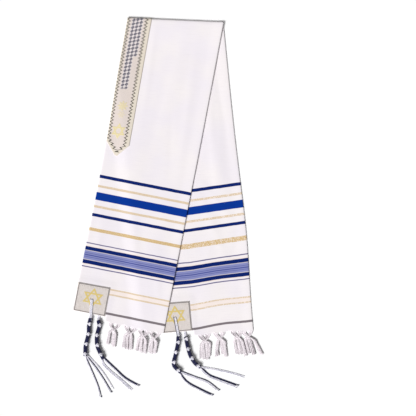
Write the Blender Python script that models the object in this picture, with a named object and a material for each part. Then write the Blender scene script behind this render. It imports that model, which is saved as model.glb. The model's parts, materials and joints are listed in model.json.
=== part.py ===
"""A tallit prayer shawl, folded in half along its length and then over its middle, lying on a table.

The cloth is one woven sheet. Its first fold brings the two long edges together, so that it is a double strip. Its
second fold, the crease, lays one half of that strip over the other, and the two halves, the legs, spread a little,
like an upside-down V. The left leg lies on top. All lengths are metres. X runs to the right, Y from the hems
towards the crease and Z up. The origin is on the table under the middle of the shawl's box.

A place on the cloth has three coordinates. "across" runs from the open long edges, 0, to the long fold. "down" runs
from the crease to the hem along a leg. "outer" is 1 on the outer half of the strip, which carries the neckband, and
0 on the inner half. The half that lies uppermost is the outer one on the left leg and the inner one on the right.
"""

import math
from collections import namedtuple

import bmesh
import bpy
from mathutils import Matrix, Vector

# Cloth and its folds
STRIP_WIDTH = 0.256  # half the width of the shawl
WALL = 0.0012
LAYER_GAP = 0.0006
LAYER_PITCH = WALL + LAYER_GAP
LONG_FOLD_RADIUS = 0.0016
LONG_FOLD_BULGE = 0.030
SEAM_GAP = 0.0003
CREASE_LIFT = 0.0020
CREASE_LIFT_REACH = 0.090

# Layout on the table
CREASE_MIDDLE = Vector((0.0212, 0.5012))

# A leg's own lean, length and hem, how far its open edge and its fold bow and end up aside of a straight line,
# and the sign of the crease's slant
Leg = namedtuple("Leg", "name lean length hem_tilt hem_bow open_bow fold_bow bow_skew open_end fold_end sign")
LEFT = Leg("left", math.radians(10.6), 0.8173, math.radians(0.5), 0, 0.0045, 0, 1, 0, -0.0045, -1)
RIGHT = Leg("right", math.radians(-5.6), 0.8344, math.radians(0.44), 0.0035, 0, 0.0065, 2.5, 0.0045, 0, 1)
CREASE_SLANT = (LEFT.lean - RIGHT.lean) / 2
CREASE_TURN = -(LEFT.lean + RIGHT.lean) / 2

# Sewn pieces
BAND_WIDTH = 0.065
BAND_POINT = ((0, 0.339), (0.030, 0.377), (0.036, 0.378), (BAND_WIDTH, 0.347))
BAND_HALVES_SPLIT = 0.002
BAND_WALL = 0.0009
PATCH_WIDTH = 0.090
PATCH_HEIGHT = 0.080
PATCH_WALL = 0.0009
PATCH_INSET = 0.0006
PATCH_RIM_STEPS = 3
EYELET_RADIUS = 0.0036
EYELET_ABOVE_HEM = 0.041

# What the lower layer rises over, and how the left leg comes down off the right one
UNDERLAY = BAND_WALL + SEAM_GAP
UNDERLAY_EDGE = 0.020
BAND_UNDERLAY_REACH = 0.426
BAND_UNDERLAY_END = 0.045
STACK = UNDERLAY + WALL + LAYER_PITCH + LAYER_GAP
PATCH_STACK = PATCH_WALL + SEAM_GAP
PATCH_STACK_START = 0.250
PATCH_STACK_RUN = 0.120
RAMP_START = 0.034
RAMP_END = 0.076

# Fringe
FRINGE_STRIP = 0.019
FRINGE_SIDE_GAP = 0.004
BUNDLE_SPREAD = 0.0095
BUNDLE_RADIUS = 0.0013
BUNDLE_ROOT = 0.002
BUNDLE_BOW = 0.0012
BUNDLE_FOLD_GAP = 0.006
KNOT_DROP = 0.0145
KNOT_RADIUS = 0.0031
KNOT_END_RADIUS = 0.0018
LOCK_RADIUS = 0.0012
LOCK_TIP_RADIUS = 0.0008
LOCK_ROOT_PITCH = 0.0011
LOCK_PITCH = 0.0040

# Tassels at the corners
HEAD_RADIUS = 0.0050
HEAD_KNOT_RADIUS = 0.0063
HEAD_KNOT_PITCH = 0.0275
HEAD_HEIGHT = HEAD_KNOT_RADIUS + SEAM_GAP
STRING_RADIUS = 0.0009
STRING_ROOT_PITCH = 0.0022
STRING_TIP_PITCH = 0.0030
STRING_END_SPREAD = 0.004
TRUNK_REACH = 0.003
LOOP_SECTION = (0.0030, 0.0013)
LOOP_TIP_SECTION = (0.0022, 0.0008)
LOOP_TIP_DIP = 0.0013
LOOP_OVER_RIM = 0.0043
LOOP_BEFORE_HEAD = 0.012
LOOP_INTO_HEAD = 0.009
NECK_RADIUS = 0.0018
NECK_HEIGHT = 0.0026
NECK_LEVEL = 0.005
NECK_INTO_HEAD = 0.003

# Soft swells of the uppermost layer, turned by so many degrees
Swell = namedtuple("Swell", "leg across down half_length half_width height turn")
SWELLS = (
    Swell("left", 0.150, 0.130, 0.110, 0.030, 0.0012, -8),
    Swell("left", 0.095, 0.430, 0.150, 0.034, 0.0013, 6),
    Swell("left", 0.190, 0.560, 0.130, 0.028, 0.0012, -5),
    Swell("right", 0.206, 0.420, 0.130, 0.024, 0.0013, 4),
    Swell("right", 0.150, 0.730, 0.070, 0.026, 0.0011, -28),
)

# Knotted tufts of the fringe, with their place across, the sideways lean of their tips and their locks' length
Tuft = namedtuple("Tuft", "leg outer across lean locks length")
TUFTS = (
    Tuft("left", 1, 0.121, -0.002, 5, 0.043),
    Tuft("left", 1, 0.168, 0.001, 5, 0.044),
    Tuft("left", 1, 0.204, -0.001, 5, 0.043),
    Tuft("left", 1, 0.234, -0.003, 4, 0.042),
    Tuft("left", 0, 0.116, 0.002, 4, 0.040),
    Tuft("left", 0, 0.160, 0.000, 4, 0.042),
    Tuft("left", 0, 0.198, 0.001, 4, 0.041),
    Tuft("left", 0, 0.230, 0.002, 4, 0.040),
    Tuft("right", 0, 0.124, 0.002, 5, 0.052),
    Tuft("right", 0, 0.165, -0.003, 5, 0.050),
    Tuft("right", 0, 0.214, 0.005, 4, 0.053),
    Tuft("right", 0, 0.242, 0.025, 4, 0.051),
    Tuft("right", 1, 0.117, -0.002, 4, 0.048),
    Tuft("right", 1, 0.159, 0.001, 4, 0.049),
    Tuft("right", 1, 0.207, 0.002, 4, 0.050),
    Tuft("right", 1, 0.236, 0.012, 4, 0.048),
)

# Corner tassels: the leg and layer that carry each, the middle line of its wound head from the hem to its end, and
# its bundles of loose strings. Places are (x, y) on the table.
Tassel = namedtuple("Tassel", "name leg outer head bundles")
Bundle = namedtuple("Bundle", "strings line")
TASSELS = (
    Tassel(
        "tzitzit_1",
        "left",
        1,
        ((-0.2070, -0.2985), (-0.2115, -0.318), (-0.2125, -0.340), (-0.2205, -0.372), (-0.2215, -0.400)),
        (
            Bundle(3, ((-0.2175, -0.412), (-0.2030, -0.445), (-0.1880, -0.482), (-0.1815, -0.507))),
            Bundle(3, ((-0.2115, -0.410), (-0.1925, -0.434), (-0.1720, -0.465), (-0.1545, -0.495))),
            Bundle(2, ((-0.2060, -0.408), (-0.1850, -0.431), (-0.1670, -0.455), (-0.1480, -0.487))),
        ),
    ),
    Tassel(
        "tzitzit_2",
        "left",
        0,
        ((-0.1860, -0.3040), (-0.1835, -0.320), (-0.1900, -0.345), (-0.1885, -0.375), (-0.1725, -0.408)),
        (
            Bundle(4, ((-0.1655, -0.413), (-0.1420, -0.435), (-0.1140, -0.461), (-0.0810, -0.480))),
            Bundle(4, ((-0.1740, -0.4205), (-0.1550, -0.4415), (-0.1275, -0.4640), (-0.0985, -0.4905))),
        ),
    ),
    Tassel(
        "tzitzit_3",
        "right",
        0,
        ((0.0295, -0.3475), (0.0280, -0.368), (0.0220, -0.396), (0.0170, -0.424), (0.0360, -0.444)),
        (
            Bundle(4, ((0.0475, -0.448), (0.0760, -0.459), (0.1080, -0.471), (0.1350, -0.492))),
            Bundle(4, ((0.0400, -0.4575), (0.0560, -0.474), (0.0850, -0.490), (0.1180, -0.506))),
        ),
    ),
    Tassel(
        "tzitzit_4",
        "right",
        1,
        ((0.0495, -0.3485), (0.0535, -0.370), (0.0610, -0.397), (0.0740, -0.419), (0.0890, -0.430)),
        (
            Bundle(3, ((0.1000, -0.432), (0.1300, -0.437), (0.1700, -0.446), (0.2040, -0.456))),
            Bundle(5, ((0.0965, -0.440), (0.1140, -0.455), (0.1450, -0.467), (0.1860, -0.482))),
        ),
    ),
)

UP = Vector((0, 0, 1))


def clear_scene():
    for old in list(bpy.data.objects):
        bpy.data.objects.remove(old)


def material(name, colour, roughness):
    made = bpy.data.materials.new(name)
    made.use_nodes = True
    shader = made.node_tree.nodes["Principled BSDF"]
    shader.inputs["Base Color"].default_value = (*colour, 1)
    shader.inputs["Roughness"].default_value = roughness
    shader.inputs["Metallic"].default_value = 0
    return made


def smooth(value):
    """0 below 0, 1 above 1, and an even curve between."""
    t = min(max(value, 0), 1)
    return t * t * (3 - 2 * t)


def mix(low, high, share):
    return low + (high - low) * share


# Where a point of the cloth lies on the table


def leg_axes(leg):
    """The directions down a leg and across it, from its open edges to its long fold."""
    down = Vector((-math.sin(leg.lean), -math.cos(leg.lean)))
    return down, Vector((-down.y, down.x))


def crease_axes():
    """The direction along the crease, towards the long fold, and the one that points away from the legs."""
    along = Vector((math.cos(CREASE_TURN), math.sin(CREASE_TURN)))
    return along, Vector((-along.y, along.x))


def crease_down(leg, across):
    """How far down a leg's own axis the slanted crease lies."""
    return leg.sign * (across - STRIP_WIDTH / 2) * math.tan(CREASE_SLANT)


def hem_down(leg, across):
    """How far down a leg's own axis its hem lies, with its tilt and its bow."""
    tilt = (across - STRIP_WIDTH / 2) * math.tan(leg.hem_tilt)
    bow = leg.hem_bow * math.sin(math.pi * smooth((across / STRIP_WIDTH - 0.35) / 0.65))
    return leg.length + tilt - bow


def plan(leg, across, down):
    """The (x, y) place of a point on a leg."""
    share = down / leg.length
    own_down = mix(crease_down(leg, across), hem_down(leg, across), share)
    bow = math.sin(math.pi * smooth(share) ** leg.bow_skew)
    aside = mix(leg.open_bow, leg.fold_bow, across / STRIP_WIDTH) * bow
    aside += mix(leg.open_end, leg.fold_end, across / STRIP_WIDTH) * smooth(share) ** 2
    downward, sideways = leg_axes(leg)
    return CREASE_MIDDLE + sideways * (across - STRIP_WIDTH / 2 + aside) + downward * own_down


# How high a point of the cloth lies


def layer_spread(across):
    """The distance between the middles of a leg's two layers, which part towards the long fold."""
    near_fold = 1 - smooth((STRIP_WIDTH - LONG_FOLD_RADIUS - across) / LONG_FOLD_BULGE)
    return mix(LAYER_PITCH, 2 * LONG_FOLD_RADIUS, near_fold)


def underlay(leg, across, down):
    """The rise of a leg's lower layer over the patch, and over the neckband, that it carries underneath."""
    beside_patch = 1 - smooth((across - PATCH_WIDTH) / UNDERLAY_EDGE)
    above_patch = smooth((down - (leg.length - PATCH_HEIGHT - UNDERLAY_EDGE)) / (UNDERLAY_EDGE - 0.004))
    rise = beside_patch * above_patch
    if leg is RIGHT:
        beside_band = 1 - smooth((across - BAND_WIDTH) / (PATCH_WIDTH - BAND_WIDTH))
        below_band = 1 - smooth((down - BAND_UNDERLAY_REACH) / BAND_UNDERLAY_END)
        rise = max(rise, beside_band * below_band)
    return UNDERLAY * rise


def base(leg, across, down):
    """The height of what a leg lies on: the table, or for the left leg also the right one."""
    if leg is RIGHT:
        return 0
    outside = STRIP_WIDTH / 2 + (plan(leg, across, down) - CREASE_MIDDLE).dot(leg_axes(RIGHT)[1])
    plateau = STACK + CREASE_LIFT * (1 - smooth(down / CREASE_LIFT_REACH))
    plateau += PATCH_STACK * smooth((down - leg.length + PATCH_STACK_START) / PATCH_STACK_RUN)
    return plateau * smooth((outside + RAMP_END) / (RAMP_END - RAMP_START))


def swell(leg, across, down):
    """The soft swells of the uppermost layer, which die out at its edges."""
    rise = 0
    for one in SWELLS:
        if one.leg != leg.name:
            continue
        place = Matrix.Rotation(math.radians(one.turn), 2) @ Vector((across - one.across, down - one.down))
        rise += one.height * math.exp(-((place.y / one.half_length) ** 2) - (place.x / one.half_width) ** 2)
    edges = smooth((STRIP_WIDTH - LONG_FOLD_RADIUS - across) / LONG_FOLD_BULGE) * smooth((leg.length - down) / 0.06)
    return rise * edges


def leg_point(leg, across, outer, down):
    """A point on the middle of the cloth's wall, on one of the legs."""
    upper = outer if leg is LEFT else 1 - outer
    height = base(leg, across, down) + underlay(leg, across, down) + WALL / 2 + upper * layer_spread(across)
    height += upper * swell(leg, across, down)
    return plan(leg, across, down).to_3d() + UP * height


def crease_point(across, outer, turn):
    """A point on the middle of the wall where it turns over the crease, 0 on the left leg to 1 on the right."""
    top = leg_point(LEFT, across, outer, 0)
    bottom = leg_point(RIGHT, across, outer, 0)
    radius = (top.z - bottom.z) / 2
    out = crease_axes()[1].to_3d()
    angle = math.pi * turn
    middle = (top + bottom) / 2
    return middle + out * (radius * math.sin(angle)) + UP * (radius * math.cos(angle))


# A row of the cloth: the leg that it lies on, or None on the crease, and how far down the leg or round the crease
Row = namedtuple("Row", "leg at")


def sheet_point(row, across, outer):
    if row.leg is None:
        return crease_point(across, outer, row.at)
    return leg_point(row.leg, across, outer, row.at)


def spaced(stops):
    """Places from the first stop to the last, with each stretch cut into the number of steps after its start."""
    places = []
    for (start, steps), (end, _) in zip(stops, stops[1:]):
        places += [mix(start, end, i / steps) for i in range(steps)]
    return places + [stops[-1][0]]


def strip_columns(first_stops, arc_steps=5):
    """(across, outer) from the outer half's open edge, round the long fold, to the inner half's open edge."""
    flat_end = STRIP_WIDTH - LONG_FOLD_RADIUS
    flats = spaced(first_stops + ((STRIP_WIDTH - 0.031, 3), (flat_end, 1)))
    arc = []
    for i in range(1, arc_steps):
        angle = math.pi * i / arc_steps
        arc.append((flat_end + LONG_FOLD_RADIUS * math.sin(angle), (1 + math.cos(angle)) / 2))
    return [(across, 1) for across in flats] + arc + [(across, 0) for across in reversed(flats)]


def leg_rows(leg):
    """How far down each row of the cloth lies, from the crease to the hem."""
    patch_top = leg.length - PATCH_HEIGHT
    return spaced(
        (
            (0, 3),
            (CREASE_LIFT_REACH, 6),
            (0.330, 2),
            (BAND_UNDERLAY_REACH, 1),
            (BAND_UNDERLAY_REACH + BAND_UNDERLAY_END, 6),
            (patch_top - UNDERLAY_EDGE, 1),
            (patch_top - 0.004, 2),
            (leg.length, 1),
        )
    )


def crease_rows(steps=6):
    return [Row(None, i / steps) for i in range(1, steps)]


# Making solids


def new_object(name, bm, paint):
    mesh = bpy.data.meshes.new(name)
    bm.to_mesh(mesh)
    bm.free()
    mesh.materials.append(paint)
    made = bpy.data.objects.new(name, mesh)
    bpy.context.scene.collection.objects.link(made)
    return made


def grid_sheet(grid):
    """A sheet through a grid of points. Its triangles are mirrored about the long fold, so that the layers match."""
    width = len(grid[0])
    bm = bmesh.new()
    bmesh.ops.create_grid(bm, x_segments=width - 1, y_segments=len(grid) - 1, size=0.5)
    bm.verts.index_update()
    for vert, place in zip(bm.verts, (point for row in grid for point in row)):
        vert.co = place
    inner = [face for face in bm.faces if min(vert.index for vert in face.verts) % width >= width // 2]
    outer = [face for face in bm.faces if face not in inner]
    bmesh.ops.triangulate(bm, faces=outer, quad_method="FIXED")
    bmesh.ops.triangulate(bm, faces=inner, quad_method="ALTERNATE")
    return bm


def thicken(made, wall):
    """Gives a sheet its wall, half of it on each side."""
    solid = made.modifiers.new("wall", "SOLIDIFY")
    solid.thickness = wall
    solid.offset = 0
    solid.use_even_offset = True
    solid.use_quality_normals = True
    made.data.shade_smooth()
    made.data.set_sharp_from_angle(angle=math.radians(50))


def sweep(bm, centres, sections, sides):
    """A closed rod along a line of points. A section is its half width and half height there."""
    spin = math.pi / 4 if sides == 4 else 0
    reach = 1 / math.cos(spin)
    frames = []
    for i, (centre, (half_width, half_height)) in enumerate(zip(centres, sections)):
        ahead = (centres[min(i + 1, len(centres) - 1)] - centres[max(i - 1, 0)]).normalized()
        side = UP.cross(ahead) if abs(ahead.z) < 0.95 else Vector((1, 0, 0))
        side.normalize()
        over = ahead.cross(side)
        turned = Matrix((side, over, ahead)).transposed().to_4x4()
        size = Matrix.Diagonal((half_width * reach, half_height * reach, 1, 1))
        frames.append(Matrix.Translation(centre) @ turned @ size @ Matrix.Rotation(spin, 4, "Z"))
    rod = bmesh.ops.create_cone(bm, cap_ends=True, segments=sides, radius1=1, radius2=1, depth=2)["verts"]
    first = [vert for vert in rod if vert.co.z < 0]
    second = [vert for vert in rod if vert.co.z > 0]
    face = next(face for face in second[0].link_faces if all(vert in second for vert in face.verts))
    bmesh.ops.transform(bm, matrix=frames[0] @ Matrix.Translation(UP), verts=first)
    bmesh.ops.transform(bm, matrix=frames[1] @ Matrix.Translation(-UP), verts=second)
    for before, after in zip(frames[1:], frames[2:]):
        face = bmesh.ops.extrude_discrete_faces(bm, faces=[face])["faces"][0]
        bmesh.ops.transform(bm, matrix=after @ before.inverted(), verts=face.verts)


def join_to(made, bm):
    """Fuses the shapes of a bmesh to an object, and to each other."""
    helper = new_object(made.name + "_parts", bm, made.data.materials[0])
    helper.hide_render = True
    helper.display_type = "WIRE"
    union = made.modifiers.new("fused", "BOOLEAN")
    union.operation = "UNION"
    union.solver = "EXACT"
    union.use_self = True
    union.object = helper


def curve_through(points, steps):
    """Points along a smooth curve through the given ones, with the given number between each two."""
    ends = [points[0] * 2 - points[1], *points, points[-1] * 2 - points[-2]]
    line = []
    for i in range(1, len(ends) - 2):
        before, start, end, after = ends[i - 1 : i + 3]
        for k in range(steps):
            t = k / steps
            line.append(
                (
                    start * 2
                    + (end - before) * t
                    + (before * 2 - start * 5 + end * 4 - after) * t**2
                    + (start * 3 - before - end * 3 + after) * t**3
                )
                / 2
            )
    return line + [points[-1]]


# The pieces


def cloth_sheet(columns):
    """The middle of the cloth's wall, from the left hem over the crease to the right hem."""
    rows = [Row(LEFT, at) for at in reversed(leg_rows(LEFT))]
    rows += crease_rows()
    rows += [Row(RIGHT, at) for at in leg_rows(RIGHT)]
    return rows, grid_sheet([[sheet_point(row, across, outer) for across, outer in columns] for row in rows])


def make_cloth(columns, paint):
    thicken(new_object("shawl_cloth", cloth_sheet(columns)[1], paint), WALL)


def make_neckband(columns, paint):
    """The band is the cloth's own sheet, moved out and cut to the band's outline, with a point on each leg."""
    rows, bm = cloth_sheet(columns)
    bm.normal_update()
    offset = WALL / 2 + SEAM_GAP + BAND_WALL / 2
    moved = [vert.co + vert.normal * offset * vert.calc_shell_factor() for vert in bm.verts]
    bm.verts.ensure_lookup_table()
    spare = []
    for i, vert in enumerate(bm.verts):
        row, (across, outer) = rows[i // len(columns)], columns[i % len(columns)]
        vert.co = moved[i]
        if outer < 1 or across > BAND_WIDTH + 1e-6 or (row.leg and row.at > BAND_UNDERLAY_REACH + 1e-6):
            spare.append(vert)
    bmesh.ops.delete(bm, geom=spare, context="VERTS")
    for leg in (LEFT, RIGHT):
        outline = [plan(leg, across, down).to_3d() for across, down in BAND_POINT]
        for start, end in zip(outline, outline[1:]):
            away = (end - start).cross(UP).normalized()
            away = away if away.dot(leg_axes(leg)[0].to_3d()) > 0 else -away
            faces = [face for face in bm.faces if (face.calc_center_median().z > BAND_HALVES_SPLIT) == (leg is LEFT)]
            parts = {item for face in faces for item in (face, *face.edges, *face.verts)}
            bmesh.ops.bisect_plane(bm, geom=list(parts), plane_co=start, plane_no=away, clear_outer=True)
    bmesh.ops.triangulate(bm, faces=bm.faces)
    thicken(new_object("neckband", bm, paint), BAND_WALL)


def make_patch(name, leg, outer, paint):
    """A flat corner patch on the outside of a layer, with an eyelet through it."""
    up = 1 if (outer == 1) == (leg is LEFT) else -1
    offset = up * (WALL / 2 + SEAM_GAP + PATCH_WALL / 2)
    low = Vector((PATCH_INSET, leg.length - PATCH_HEIGHT, 0))
    high = Vector((PATCH_WIDTH - PATCH_INSET, leg.length - PATCH_INSET, 0))
    middle = Vector((PATCH_WIDTH / 2, leg.length - EYELET_ABOVE_HEM, 0))
    corners = (low, Vector((high.x, low.y, 0)), high, Vector((low.x, high.y, 0)))
    bm = bmesh.new()
    bmesh.ops.create_circle(bm, segments=4 * PATCH_RIM_STEPS, radius=EYELET_RADIUS)
    bmesh.ops.translate(bm, vec=middle, verts=bm.verts)
    rim = []
    for start, end in zip(corners, corners[1:] + corners[:1]):
        rim += [bm.verts.new(start.lerp(end, i / PATCH_RIM_STEPS)) for i in range(PATCH_RIM_STEPS)]
    for before, after in zip(rim, rim[1:] + rim[:1]):
        bm.edges.new((before, after))
    bmesh.ops.bridge_loops(bm, edges=bm.edges)
    bmesh.ops.triangulate(bm, faces=bm.faces)
    for vert in bm.verts:
        vert.co = leg_point(leg, vert.co.x, outer, vert.co.y) + UP * offset
    bmesh.ops.recalc_face_normals(bm, faces=bm.faces)
    thicken(new_object(name, bm, paint), PATCH_WALL)


def tuft_shapes(bm, leg, tuft):
    """Two bundles of warp ends that meet in a knot, and the locks that hang from it."""
    upper = tuft.outer if leg is LEFT else 1 - tuft.outer
    end = leg.length + FRINGE_STRIP
    root_height = leg_point(leg, tuft.across, tuft.outer, end).z
    floor = base(leg, tuft.across, end)
    knot_height = max(floor + SEAM_GAP + KNOT_RADIUS, root_height + 0.0006) + upper * 0.0007
    lock_height = floor + SEAM_GAP + LOCK_RADIUS + upper * (2 * LOCK_RADIUS + SEAM_GAP)
    tip_height = SEAM_GAP + LOCK_RADIUS + upper * (2 * LOCK_RADIUS + SEAM_GAP)
    knot = plan(leg, tuft.across, end + KNOT_DROP).to_3d() + UP * knot_height
    for side in (-1, 1):
        root_across = min(tuft.across + side * BUNDLE_SPREAD, STRIP_WIDTH - BUNDLE_FOLD_GAP)
        root = leg_point(leg, root_across, tuft.outer, end - BUNDLE_ROOT)
        middle = root.lerp(knot, 0.55) + (root - knot).normalized().cross(UP) * (BUNDLE_BOW * side)
        flat = (BUNDLE_RADIUS * 1.5, WALL / 2 * 0.95)
        thin = (BUNDLE_RADIUS, BUNDLE_RADIUS * 0.9)
        sweep(bm, [root, middle, knot], [flat, thin, thin], 4)
    downward, sideways = (axis.to_3d() for axis in leg_axes(leg))
    ends = (KNOT_END_RADIUS, KNOT_END_RADIUS)
    waist = (KNOT_RADIUS, KNOT_RADIUS * 0.93)
    sweep(bm, [knot + downward * KNOT_RADIUS * at for at in (-1, -0.4, 0.4, 1)], [ends, waist, waist, ends], 6)
    for i in range(tuft.locks):
        place = i - (tuft.locks - 1) / 2
        length = tuft.length * (1 - 0.10 * abs(math.sin(2.1 * i + 90 * tuft.across)))
        line = [knot + sideways * (place * LOCK_ROOT_PITCH)]
        for share in (0.45, 1):
            across = tuft.across + LOCK_PITCH * place + tuft.lean * share
            spot = plan(leg, across, end + KNOT_DROP + length * share).to_3d()
            line.append(spot + UP * mix(lock_height, tip_height, share))
        radii = (LOCK_RADIUS * 0.75, LOCK_RADIUS, LOCK_TIP_RADIUS)
        sweep(bm, line, [(radius * 1.15, radius) for radius in radii], 4)


def make_fringe(leg, paint):
    """The strip of unwoven warp below a hem, round the long fold, with its knotted tufts."""
    first = PATCH_WIDTH + FRINGE_SIDE_GAP
    columns = strip_columns(((first, 1), (PATCH_WIDTH + UNDERLAY_EDGE, 4)))
    rows = (leg.length + SEAM_GAP, leg.length + FRINGE_STRIP / 2, leg.length + FRINGE_STRIP)
    grid = [[leg_point(leg, across, outer, at) for across, outer in columns] for at in rows]
    made = new_object("fringe_" + leg.name, grid_sheet(grid), paint)
    thicken(made, WALL)
    bm = bmesh.new()
    for tuft in TUFTS:
        if tuft.leg == leg.name:
            tuft_shapes(bm, leg, tuft)
    join_to(made, bm)


def make_tassel(tassel, paint):
    """A wound head with a knot every few windings, its loose strings, and the loop that holds it in its eyelet."""
    leg = LEFT if tassel.leg == "left" else RIGHT
    line = curve_through([Vector((x, y, HEAD_HEIGHT)) for x, y in tassel.head], 5)
    sections, run = [], 0
    for i, place in enumerate(line):
        run += (place - line[i - 1]).length if i else 0
        bulge = math.cos(2 * math.pi * run / HEAD_KNOT_PITCH)
        radius = mix(HEAD_RADIUS, HEAD_KNOT_RADIUS, max(bulge, 0) ** 1.5)
        sections.append((radius, radius * 0.94))
    bm = bmesh.new()
    sweep(bm, line, sections, 6)
    made = new_object(tassel.name, bm, paint)
    made.data.shade_smooth()
    made.data.set_sharp_from_angle(angle=math.radians(50))
    strings = bmesh.new()
    root = line[-2]
    for number, bundle in enumerate(tassel.bundles):
        rise = 0.0002 * number
        route = [Vector((x, y, STRING_RADIUS + SEAM_GAP + rise)) for x, y in bundle.line]
        past = route[0] + (route[1] - route[0]).normalized() * TRUNK_REACH
        half_height = STRING_RADIUS * 1.15
        half_width = STRING_ROOT_PITCH * (bundle.strings - 1) / 2 + half_height
        trunk = [(half_width * 0.7, half_height * 1.5), (half_width, half_height), (half_width, half_height)]
        sweep(strings, [root + UP * rise, route[0], past], trunk, 4)
        for i in range(bundle.strings):
            place = i - (bundle.strings - 1) / 2
            spots = []
            for k, spot in enumerate(route):
                ahead = route[min(k + 1, len(route) - 1)] - route[max(k - 1, 0)]
                apart = mix(STRING_ROOT_PITCH, STRING_TIP_PITCH, k / (len(route) - 1))
                spots.append(spot + ahead.normalized().cross(UP) * (place * apart))
            spots[-1] += (spots[-1] - spots[-2]).normalized() * (STRING_END_SPREAD * math.cos(3.0 * i))
            sweep(strings, spots, [(STRING_RADIUS, STRING_RADIUS)] * len(spots), 4)
    start = line[0].to_2d()
    if (tassel.outer == 1) == (leg is LEFT):
        eye = plan(leg, PATCH_WIDTH / 2, leg.length - EYELET_ABOVE_HEM)
        cloth_top = leg_point(leg, PATCH_WIDTH / 2, tassel.outer, leg.length - EYELET_ABOVE_HEM).z + WALL / 2
        over = cloth_top + SEAM_GAP + PATCH_WALL + SEAM_GAP + LOOP_SECTION[1]
        inward = (eye - start).normalized()
        spots = [
            eye.to_3d() + UP * (over - LOOP_TIP_DIP),
            (eye - inward * LOOP_OVER_RIM).to_3d() + UP * over,
            (start + inward * LOOP_BEFORE_HEAD).to_3d() + UP * over,
            (start - inward * LOOP_INTO_HEAD).to_3d() + UP * (HEAD_HEIGHT + LOOP_SECTION[1] * 0.8),
        ]
        sweep(strings, spots, [LOOP_TIP_SECTION] + [LOOP_SECTION] * 3, 6)
    else:
        downward, sideways = leg_axes(leg)
        across = (start - plan(leg, 0, leg.length)).dot(sideways)
        spots = [
            plan(leg, across, leg.length + SEAM_GAP).to_3d() + UP * NECK_HEIGHT,
            plan(leg, across, leg.length + NECK_LEVEL).to_3d() + UP * NECK_HEIGHT,
            (start + downward * NECK_INTO_HEAD).to_3d() + UP * HEAD_HEIGHT,
        ]
        sweep(strings, spots, [(NECK_RADIUS, NECK_RADIUS)] * 3, 6)
    join_to(made, strings)


def main():
    clear_scene()
    white = material("woven_white", (0.86, 0.84, 0.86), 0.85)
    yarn = material("fringe_yarn", (0.84, 0.82, 0.83), 0.9)
    band = material("neckband_brocade", (0.74, 0.70, 0.62), 0.6)
    patch = material("patch_linen", (0.66, 0.65, 0.62), 0.75)
    cord = material("tassel_cord", (0.03, 0.05, 0.16), 0.8)
    columns = strip_columns(((0, 3), (BAND_WIDTH, 1), (PATCH_WIDTH, 1), (PATCH_WIDTH + UNDERLAY_EDGE, 5)))
    make_cloth(columns, white)
    make_neckband(columns, band)
    for number, (leg, outer) in enumerate(((LEFT, 1), (LEFT, 0), (RIGHT, 0), (RIGHT, 1)), 1):
        make_patch(f"corner_patch_{number}", leg, outer, patch)
    for leg in (LEFT, RIGHT):
        make_fringe(leg, yarn)
    for tassel in TASSELS:
        make_tassel(tassel, cord)


main()
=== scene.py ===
"""The finish of a folded prayer shawl: woven cloth, neckband, corner patches, fringes and tassels.

All lengths are metres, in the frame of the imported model. X runs to the right, Y from the hems towards the
crease and Z up. The shawl is a double strip: its long edges lie together, and its long fold runs down the
other side. The strip is folded again over the crease, and its two halves, the legs, spread like an upside-
down V, the left one on top.

A place on the cloth has three coordinates. "across" runs from the open long edges, 0, to the long fold.
"along" runs down the left leg below 0, round the crease at 0, and down the right leg above 0. "outer" is 1
on the outer half of the strip, which carries the neckband, and 0 on the inner half.
"""

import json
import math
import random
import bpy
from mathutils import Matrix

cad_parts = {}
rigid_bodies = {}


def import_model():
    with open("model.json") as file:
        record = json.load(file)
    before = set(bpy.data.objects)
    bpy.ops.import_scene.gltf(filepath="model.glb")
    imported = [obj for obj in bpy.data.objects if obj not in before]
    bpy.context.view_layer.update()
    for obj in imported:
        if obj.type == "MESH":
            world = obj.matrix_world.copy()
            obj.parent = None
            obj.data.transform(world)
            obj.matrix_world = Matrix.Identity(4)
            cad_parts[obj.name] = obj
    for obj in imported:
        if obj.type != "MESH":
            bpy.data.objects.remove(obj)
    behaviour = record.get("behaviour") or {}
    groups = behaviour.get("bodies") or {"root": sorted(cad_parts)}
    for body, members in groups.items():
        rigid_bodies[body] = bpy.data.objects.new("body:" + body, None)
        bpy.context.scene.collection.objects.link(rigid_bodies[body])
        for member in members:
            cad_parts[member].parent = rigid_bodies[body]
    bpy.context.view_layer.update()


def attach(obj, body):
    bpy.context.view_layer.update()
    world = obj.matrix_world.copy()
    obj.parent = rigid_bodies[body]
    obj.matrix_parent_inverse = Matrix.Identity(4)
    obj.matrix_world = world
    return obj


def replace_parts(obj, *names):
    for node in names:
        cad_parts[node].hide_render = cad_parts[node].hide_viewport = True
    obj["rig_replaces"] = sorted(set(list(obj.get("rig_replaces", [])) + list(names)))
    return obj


bl_info = {
    "name": "Folded Prayer Shawl",
    "version": (1, 0, 0),
    "blender": (4, 5, 0),
    "location": "3D View > Sidebar > Shawl",
    "description": "Weaves, trims and fringes a prayer shawl that lies folded on a table",
    "category": "Object",
}

from collections import namedtuple

import bmesh
import bpy
from bpy.props import FloatProperty, FloatVectorProperty, IntProperty, PointerProperty
from bpy.types import Operator, Panel, PropertyGroup
from mathutils import Matrix, Vector

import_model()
UP = Vector((0, 0, 1))

# The lay of the cloth on the table, as the solids have it
STRIP_WIDTH = 0.256
WALL = 0.0012
LAYER_PITCH = 0.0018
LAYER_GAP = 0.0006
LONG_FOLD_RADIUS = 0.0016
LONG_FOLD_BULGE = 0.030
CREASES_START = 0.03
CREASES_END = 0.06
HEM_BOW_START = 0.35
FLAT_END = STRIP_WIDTH - LONG_FOLD_RADIUS
CREASE_LIFT = 0.0020
CREASE_LIFT_REACH = 0.090
CREASE_TURN_LENGTH = 0.012
CREASE_MIDDLE = Vector((0.0212, 0.5012))

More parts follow.
